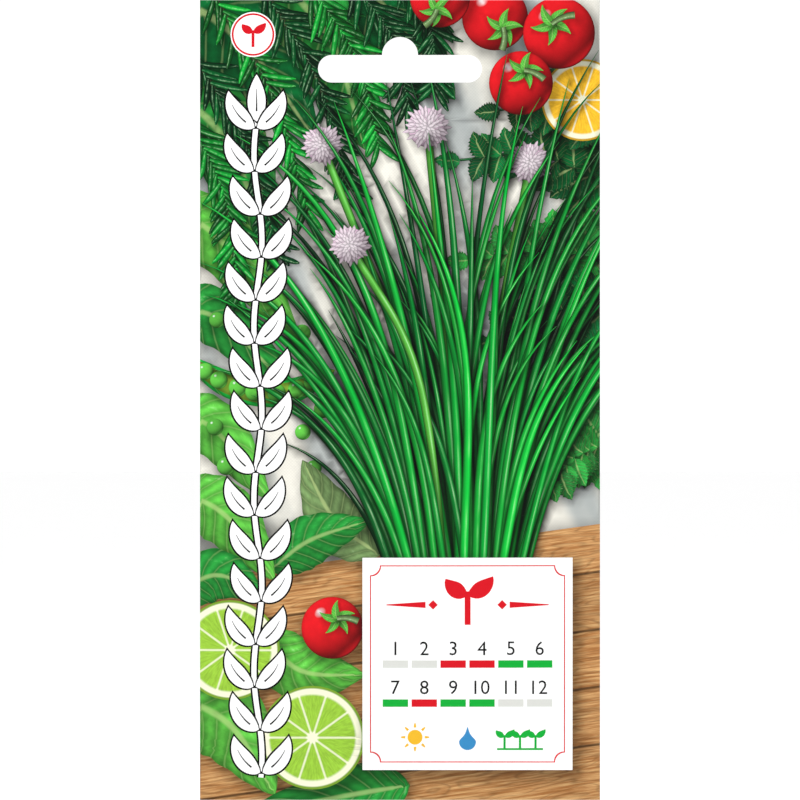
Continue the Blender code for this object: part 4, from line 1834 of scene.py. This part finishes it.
@dataclass
class PrintedSheet:
    """A sheet of the web: its printed skin, its bare inner side and the cut edges between them.

    The skin is given as the distance from the middle plane at a place, and facing is -1 for a front.
    Points nearer to each other than weld become one.
    """

    name: str
    form: PacketForm
    drawing: Drawing
    left: float
    right: float
    skin: Callable[[Array, Array], Array]
    facing: int
    grid: float = 1.6
    inner_grid: float = 4.0
    weld: float = 1e-4
    light: tuple[float, float] = (-0.30, 0.42)

    def build(self, materials: list[bpy.types.Material]) -> bpy.types.Object:
        """Triangulates the drawing, lifts it onto the sheet's form and closes the sheet.

        Args:
            materials: One material for each ink.

        Returns:
            The finished piece, which rides on the packet's body.
        """
        points, faces, owner = self.triangles()
        corners = points[faces]
        chart, shade = self.charts(corners, owner)
        loops = self.boundary(faces)
        inner_points, inner_faces, seats = self.lining(points, loops)
        count = len(points)
        rim_ends = seats[loops]
        rim = np.vstack(
            [
                np.stack([loops[:, 1], loops[:, 0], rim_ends[:, 0] + count], 1),
                np.stack([loops[:, 1], rim_ends[:, 0] + count, rim_ends[:, 1] + count], 1),
            ]
        )
        all_faces = np.vstack([faces, inner_faces[:, ::-1] + count, rim])
        skin = self.skin(*points.T)
        inner_skin = np.maximum(self.skin(*inner_points.T) - self.form.paper, self.form.closed_half)
        verts = np.vstack([self.world(points, skin), self.world(inner_points, inner_skin)])
        inks = np.array([motif.ink.value for motif in self.drawing.motifs])
        slots = np.full(len(all_faces), Ink.STOCK.value)
        slots[: len(faces)] = inks[owner]
        mesh = bpy.data.meshes.new(self.name)
        mesh.from_pydata(verts, [], all_faces)
        mesh.polygons.foreach_set("material_index", slots.astype(np.int32))
        self.paint(mesh, chart, shade, owner, len(all_faces))
        bake_layer = mesh.uv_layers.new(name="OFBake")
        bake_map = self.bake_map(corners, inner_points[inner_faces[:, ::-1]], points[loops])
        bake_layer.uv.foreach_set("vector", bake_map.astype(np.float32).ravel())
        self.smooth_normals(mesh, points, len(faces))
        for material in materials:
            mesh.materials.append(material)
        obj = bpy.data.objects.new(self.name, mesh)
        bpy.context.scene.collection.objects.link(obj)
        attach(obj, "root")
        LOG.info("%s: %d triangles, %d motifs", self.name, len(all_faces), len(self.drawing.motifs))
        return obj

    def border(self) -> Array:
        """The sheet's rectangle."""
        return plate(self.left, 0.0, self.right, self.form.height)

    def triangles(self) -> tuple[Array, Array, Array]:
        """One triangulation of every outline on the sheet.

        Returns:
            The points, the triangles on the sheet as rows of three points, and each one's topmost motif.
        """
        shapes = [
            (number, outline)
            for number, motif in enumerate(self.drawing.motifs)
            for outline in motif.outlines
            if outline[:, 0].max() > self.left and outline[:, 0].min() < self.right
        ]
        outlines = [self.border(), self.form.slot(), *(outline for _, outline in shapes)]
        outlines = [split(outline, self.grid) for outline in outlines]
        sizes = np.array([len(outline) for outline in outlines])
        starts = np.cumsum(sizes) - sizes
        ends = np.arange(sizes.sum()) + 1
        ends[starts + sizes - 1] = starts
        edges = np.stack([np.arange(len(ends)), ends], 1)
        guides, guide_edges = self.guides(len(ends))
        points = np.vstack([*outlines, guides]).tolist()
        made = delaunay_2d_cdt(points, [*edges.tolist(), *guide_edges], [], 0, self.weld, False)
        places = np.array([tuple(point) for point in made[0]])
        faces = np.array(made[2])
        faces = faces[np.argsort(places[faces, 1].mean(1))]
        spots = Spots(places[faces].mean(1))
        owner = np.full(len(faces), -1)
        for number, outline in shapes:
            owner[spots.in_outline(outline)] = number
        on_sheet = np.zeros(len(faces), bool)
        on_sheet[spots.in_outline(self.border())] = True
        on_sheet[spots.in_outline(self.form.slot())] = False
        used, faces = np.unique(faces[on_sheet], return_inverse=True)
        return places[used], faces.reshape(-1, 3), owner[on_sheet]

    def guides(self, first: int) -> tuple[Array, list[tuple[int, int]]]:
        """Points and lines that only carry the form: a staggered grid, the folds and the seal lines.

        Args:
            first: The number of the first point to add.

        Returns:
            The points, and the lines between them as pairs of numbers.
        """
        form = self.form
        across = np.arange(self.left + self.grid / 2, self.right, self.grid)
        up = np.arange(self.grid / 2, form.height, self.grid)
        x, y = np.meshgrid(across, up)
        x = x + self.grid / 4 * (-1.0) ** np.arange(len(up))[:, None]
        x = np.clip(x, self.left + self.grid / 4, self.right - self.grid / 4)
        grid = np.stack([x.ravel(), y.ravel()], 1)
        folds = [place for offset in form.fold_lines for place in (offset, form.width - offset)]
        lines = [((x, 0.0), (x, form.height)) for x in folds if self.left < x < self.right]
        lines += [((self.left, y), (self.right, y)) for y in form.bends()]
        ends = np.array(lines).reshape(-1, 2)
        edges = [(first + len(grid) + 2 * k, first + len(grid) + 2 * k + 1) for k in range(len(lines))]
        return np.vstack([grid, ends]), edges

    def charts(self, corners: Array, owner: Array) -> tuple[Array, Array]:
        """Local coordinates and shading at every corner of the printed skin.

        Args:
            corners: Three points for each triangle.
            owner: The motif that each triangle shows.

        Returns:
            Chart coordinates and shading, one row for each corner.
        """
        chart = np.zeros((len(owner), 3, 2))
        shade = np.ones((len(owner), 3))
        order = np.argsort(owner, kind="stable")
        bounds = np.searchsorted(owner[order], np.arange(len(self.drawing.motifs) + 1))
        spots = Spots(corners.mean(1))
        for number, motif in enumerate(self.drawing.motifs):
            mine = order[bounds[number] : bounds[number + 1]]
            if len(mine):
                chart[mine] = motif.chart.local(corners[mine].reshape(-1, 2)).reshape(-1, 3, 2)
            if motif.shade:
                self.cast(motif, spots, corners, owner < number, shade)
        return chart.reshape(-1, 2), shade.ravel()

    def cast(self, motif: Motif, spots: Spots, corners: Array, below: Array, shade: Array) -> None:
        """Darkens what lies below a motif, the more the nearer it is to the motif's shifted outline.

        Args:
            motif: The motif that casts the shadow.
            spots: The middles of the triangles.
            corners: Their corners.
            below: Whether each triangle lies below the motif.
            shade: The shading of their corners, which is changed.
        """
        outline = motif.outlines[0]
        shift = np.asarray(self.light) * motif.reach
        margin = motif.reach + self.grid
        near = spots.in_box(outline.min(0) - margin - shift, outline.max(0) + margin - shift)
        near = near[below[near]]
        if not len(near):
            return
        places = corners[near].reshape(-1, 2) + shift
        if isinstance(motif.chart, SpineChart):
            gap, place, _ = nearest_on(places, motif.chart.spine)
            gap = gap - np.interp(place, np.arange(len(motif.chart.half)), motif.chart.half)
        elif isinstance(motif.chart, DiscChart):
            gap = np.linalg.norm(places - np.asarray(motif.chart.centre), axis=1) - motif.chart.radius
        else:
            middle, reach = (outline.min(0) + outline.max(0)) / 2, np.ptp(outline, axis=0) / 2
            gap = np.linalg.norm(np.maximum(np.abs(places - middle) - reach, 0), axis=1)
        dark = motif.shade * (1 - np.clip(gap / motif.reach, 0, 1)) ** 1.5
        shade[near] *= 1 - dark.reshape(-1, 3)

    @staticmethod
    def boundary(faces: Array) -> Array:
        """The edges that only one triangle has.

        Args:
            faces: Rows of three point numbers.

        Returns:
            Rows of two point numbers, in the direction of their triangle.
        """
        edges = np.vstack([faces[:, [0, 1]], faces[:, [1, 2]], faces[:, [2, 0]]])
        _, first, count = np.unique(np.sort(edges, axis=1), axis=0, return_index=True, return_counts=True)
        return edges[first[count == 1]]

    def lining(self, points: Array, loops: Array) -> tuple[Array, Array, Array]:
        """A coarse inner side with the same border points as the printed skin.

        Args:
            points: The skin's points.
            loops: The skin's border edges.

        Returns:
            The inner points, the inner triangles, and for each skin point the inner point on its border.
        """
        step = self.inner_grid
        used, edges = np.unique(loops, return_inverse=True)
        edges = edges.reshape(-1, 2)
        across = np.arange(self.left + step / 2, self.right - step / 4, step)
        rows = np.concatenate([np.arange(step / 2, self.form.height - step / 2, step), self.form.bends()])
        x, y = np.meshgrid(across, rows)
        grid = np.stack([x.ravel(), y.ravel()], 1)
        border, slot = self.border(), self.form.slot()
        count = len(used) + len(grid)
        slot_first = count + len(border)
        limits = [list(range(count, slot_first)), list(range(slot_first, slot_first + len(slot)))]
        places = np.vstack([points[used], grid, border, slot]).tolist()
        made = delaunay_2d_cdt(places, edges.tolist(), limits, 0, self.weld / 10, True)
        keep = np.array([0 in parents and 1 not in parents for parents in made[5]])
        sources = np.array(list(itertools.chain.from_iterable(made[3])))
        numbers = np.repeat(np.arange(len(made[3])), [len(group) for group in made[3]])
        from_skin = sources < len(used)
        seats = np.zeros(len(points), int)
        seats[used[sources[from_skin]]] = numbers[from_skin]
        return np.array([tuple(p) for p in made[0]]), np.asarray(made[2])[keep], seats

    def world(self, points: Array, half: Array) -> Array:
        """Drawing coordinates to world coordinates. A back sheet is mirrored.

        Args:
            points: Drawing coordinates in millimetres.
            half: Each point's distance from the middle plane.

        Returns:
            World coordinates in metres.
        """
        x = points[:, 0] + self.form.left
        if self.facing > 0:
            x = -x
        return np.stack([x, self.facing * half, points[:, 1] + self.form.low], 1) * MM

    def bake_map(self, printed: Array, lining: Array, edges: Array) -> Array:
        """A flat map without overlaps: the print, beside it the lining, and the cut edges round that.

        A cut edge has no width in the plane, so in the map it gets one to the outside of its sheet.

        Args:
            printed: Drawing coordinates of the printed corners.
            lining: Drawing coordinates of the lining's corners.
            edges: Both ends of every border edge, with the sheet on its left.

        Returns:
            Two map coordinates for every corner of the mesh, in the order of its faces.
        """
        size = np.array([self.form.width, self.form.height])
        rim_width = 1.2
        print_share, print_corner = (0.87, 0.98), (0.005, 0.01)
        plain_share, plain_corner = (0.10, 0.97), (0.89, 0.015)
        first, last = edges[:, 0], edges[:, 1]
        way = last - first
        out = np.stack([way[:, 1], -way[:, 0]], 1) / np.maximum(np.linalg.norm(way, axis=1), 1e-9)[:, None]
        far_first, far_last = first + rim_width * out, last + rim_width * out
        rim = np.vstack([np.stack([far_last, far_first, first], 1), np.stack([far_last, first, last], 1)])
        plain = np.vstack([lining, rim]) / size * plain_share + plain_corner
        return np.vstack([printed / size * print_share + print_corner, plain])

    def paint(self, mesh: bpy.types.Mesh, chart: Array, shade: Array, owner: Array, total: int) -> None:
        """Writes chart, tint and shading to the mesh, corner by corner.

        Args:
            mesh: The sheet's mesh, whose first faces are the printed ones.
            chart: Chart coordinates of the printed corners.
            shade: Shading of the printed corners.
            owner: The motif of each printed face.
            total: How many faces the mesh has.
        """
        tints = np.array([[*linear(motif.tint), motif.tone] for motif in self.drawing.motifs])
        printed = len(owner)

        def spread(values: Array, rest: float) -> Array:
            """The printed corners' values, then a constant for the rest."""
            values = values.reshape(printed, 3, -1)
            tail = np.full((total - printed, 3, values.shape[2]), rest)
            return np.vstack([values, tail]).astype(np.float32).ravel()

        chart_layer = mesh.uv_layers.new(name="Chart")
        chart_layer.uv.foreach_set("vector", spread(chart, 0.5))
        tint_layer = mesh.color_attributes.new("Tint", "FLOAT_COLOR", "CORNER")
        tint_layer.data.foreach_set("color", spread(np.repeat(tints[owner], 3, axis=0), 1.0))
        shade_layer = mesh.attributes.new("Shade", "FLOAT", "CORNER")
        shade_layer.data.foreach_set("value", spread(shade, 1.0))

    def smooth_normals(self, mesh: bpy.types.Mesh, points: Array, printed: int) -> None:
        """Sets the printed skin's normals from the form itself. Lining and cut edges stay flat.

        The normal of the height h(x, y) is (-dh/dx, -dh/dy, 1) in the sheet's own axes, at length 1.

        Args:
            mesh: The sheet's mesh, whose first faces are the printed ones.
            points: Drawing coordinates of the skin.
            printed: How many faces are printed.
        """
        step = 0.05
        x, y = points.T
        left, right = np.maximum(x - step, 0), np.minimum(x + step, self.form.width)
        slope_x = (self.skin(right, y) - self.skin(left, y)) / (right - left)
        slope_y = (self.skin(x, y + step) - self.skin(x, y - step)) / (2 * step)
        out = np.stack([slope_x * self.facing, np.full(len(x), self.facing), -slope_y], 1)
        out /= np.linalg.norm(out, axis=1, keepdims=True)
        mesh.shade_smooth()
        normals = np.empty(len(mesh.polygons) * 3, np.float32)
        mesh.polygons.foreach_get("normal", normals)
        normals = np.repeat(normals.reshape(-1, 3), 3, axis=0)
        corners = np.empty(len(mesh.loops), np.int32)
        mesh.loops.foreach_get("vertex_index", corners)
        normals[: 3 * printed] = out[corners[: 3 * printed]]
        mesh.normals_split_custom_set(normals.tolist())


@dataclass(frozen=True)
class Packet:
    """The whole packet: a front sheet and two back sheets that overlap in the lap seam."""

    form: PacketForm

    def build(self, materials: list[bpy.types.Material]) -> None:
        """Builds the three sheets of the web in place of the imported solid.

        Args:
            materials: One material for each ink.
        """
        form = self.form
        middle = form.width / 2
        back = BackArt(form.width, form.height).drawing()
        front = FrontArt(form.width, form.height).drawing()
        sheets = (
            PrintedSheet("front_panel", form, front, 0.0, form.width, form.panel, -1),
            PrintedSheet("back_panel_inner", form, back, middle - form.lap_half, form.width, form.panel, 1),
            PrintedSheet("back_panel_outer", form, back, 0.0, middle + form.lap_half, self.outer_flap, 1),
        )
        pieces = [sheet.build(materials) for sheet in sheets]
        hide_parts("packet")

    def outer_flap(self, x: Array, y: Array) -> Array:
        """The outer flap's skin. Seen from behind, its free edge is on the right, so x is turned round."""
        return self.form.lapped(self.form.width - x, y)


@dataclass(frozen=True)
class SoftLamp:
    """A square soft light: its place off the packet's centre and its side in metres, its power in watts."""

    name: str
    place: tuple[float, float, float]
    power: float
    size: float

    def build(self, centre: Array) -> None:
        """Stands the light at its place and turns it to the centre.

        Args:
            centre: The packet's centre.
        """
        data = bpy.data.lights.new(self.name, "AREA")
        data.energy = self.power
        data.size = self.size
        obj = bpy.data.objects.new(self.name, data)
        obj.matrix_world = look_at(centre + self.place, centre)
        bpy.context.scene.collection.objects.link(obj)


@dataclass(frozen=True)
class Studio:
    """A plain pale floor, a white surround, soft lights and a long-lens camera."""

    form: PacketForm
    lamps: tuple[SoftLamp, ...] = (
        SoftLamp("key_light", (-0.85, -0.85, 0.75), 5.6, 0.8),
        SoftLamp("fill_light", (0.95, -0.8, 0.25), 2.6, 0.9),
    )
    lens: float = 250.0
    sensor: float = 36.0
    sight: float = 50.0
    floor_drop: float = 12.0
    floor_reach: float = 6.0
    floor_tint: Colour = (0.96, 0.96, 0.96)
    white: float = 1.08
    dark: float = 0.02
    dark_from: float = 0.90
    dark_to: float = 0.74

    def build(self) -> None:
        """Sets the floor, the surround, the lights and the camera."""
        self.floor()
        self.surround()
        centre = np.array([0.0, 0.0, self.form.low + self.form.height / 2]) * MM
        for lamp in self.lamps:
            lamp.build(centre)
        self.camera(centre)

    def floor(self) -> None:
        """A wide plane just below the packet."""
        reach = self.floor_reach
        z = (self.form.low - self.floor_drop) * MM
        mesh = bpy.data.meshes.new("floor")
        corners = [(-reach, -reach, z), (reach, -reach, z), (reach, reach, z), (-reach, reach, z)]
        mesh.from_pydata(corners, [], [(0, 1, 2, 3)])
        graph = SurfaceGraph("floor_white", 0.9)
        speck = graph.noise(graph.place(), 40.0, 2.0)
        mesh.materials.append(graph.finish(graph.scaled(self.floor_tint, speck * 0.02 + 0.99)))
        floor = bpy.data.objects.new("floor", mesh)
        bpy.context.scene.collection.objects.link(floor)

    def surround(self) -> None:
        """A white world whose light is dark round the camera, so that the front's gloss shows no veil.

        The light is a smooth step of the cosine between a direction and the camera's. A view that looks
        straight at the world sees it white all over.
        """
        world = bpy.data.worlds.new("surround")
        world.use_nodes = True
        graph = Graph(world.node_tree)
        direction = graph.node("ShaderNodeTexCoord").outputs["Generated"]
        inputs = {0: direction, 1: (0.0, -1.0, 0.0)}
        towards = Signal(
            graph, graph.node("ShaderNodeVectorMath", {"operation": "DOT_PRODUCT"}, inputs).outputs["Value"]
        )
        seen = Signal(graph, graph.node("ShaderNodeLightPath").outputs["Is Camera Ray"])
        darkest = seen * (self.white - self.dark) + self.dark
        light = towards.step(self.dark_to, self.dark_from, self.white, darkest)
        background = graph.tree.nodes["Background"]
        background.inputs["Color"].default_value = (1.0, 1.0, 1.0, 1.0)
        graph.tree.links.new(light.socket, background.inputs["Strength"])
        bpy.context.scene.world = world
        bpy.context.scene.view_settings.view_transform = "Standard"

    def camera(self, centre: Array) -> None:
        """A straight view from the front that the packet's height just fills.

        Args:
            centre: The packet's centre.
        """
        data = bpy.data.cameras.new("camera")
        data.lens = self.lens
        data.sensor_width = self.sensor
        data.clip_end = self.sight
        obj = bpy.data.objects.new("camera", data)
        distance = self.form.height * MM * self.lens / self.sensor + self.form.sealed_half * MM
        obj.matrix_world = look_at(centre - (0, distance, 0), centre)
        bpy.context.scene.collection.objects.link(obj)
        bpy.context.scene.camera = obj


def look_at(place: Array, target: Array) -> Matrix:
    """A matrix that stands at a place and looks at a target along its own -Z, with Y up."""
    way = Vector(np.asarray(target) - np.asarray(place))
    return Matrix.Translation(Vector(place)) @ way.to_track_quat("-Z", "Y").to_matrix().to_4x4()


def dress_seeds() -> None:
    """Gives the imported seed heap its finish."""
    node = frame["nodes"]["seeds"]
    node.data.materials.clear()
    node.data.materials.append(SeedCoat("seed_coat").material())
    LOG.info("seeds: %d faces carried over", len(node.data.polygons))


def main() -> None:
    """Builds the packet, its seeds and the studio."""
    logging.basicConfig(level=logging.INFO, format="%(message)s")
    form = PacketForm.from_frame()
    Packet(form).build(ink_materials())
    dress_seeds()
    Studio(form).build()


if __name__ == "__main__":
    main()
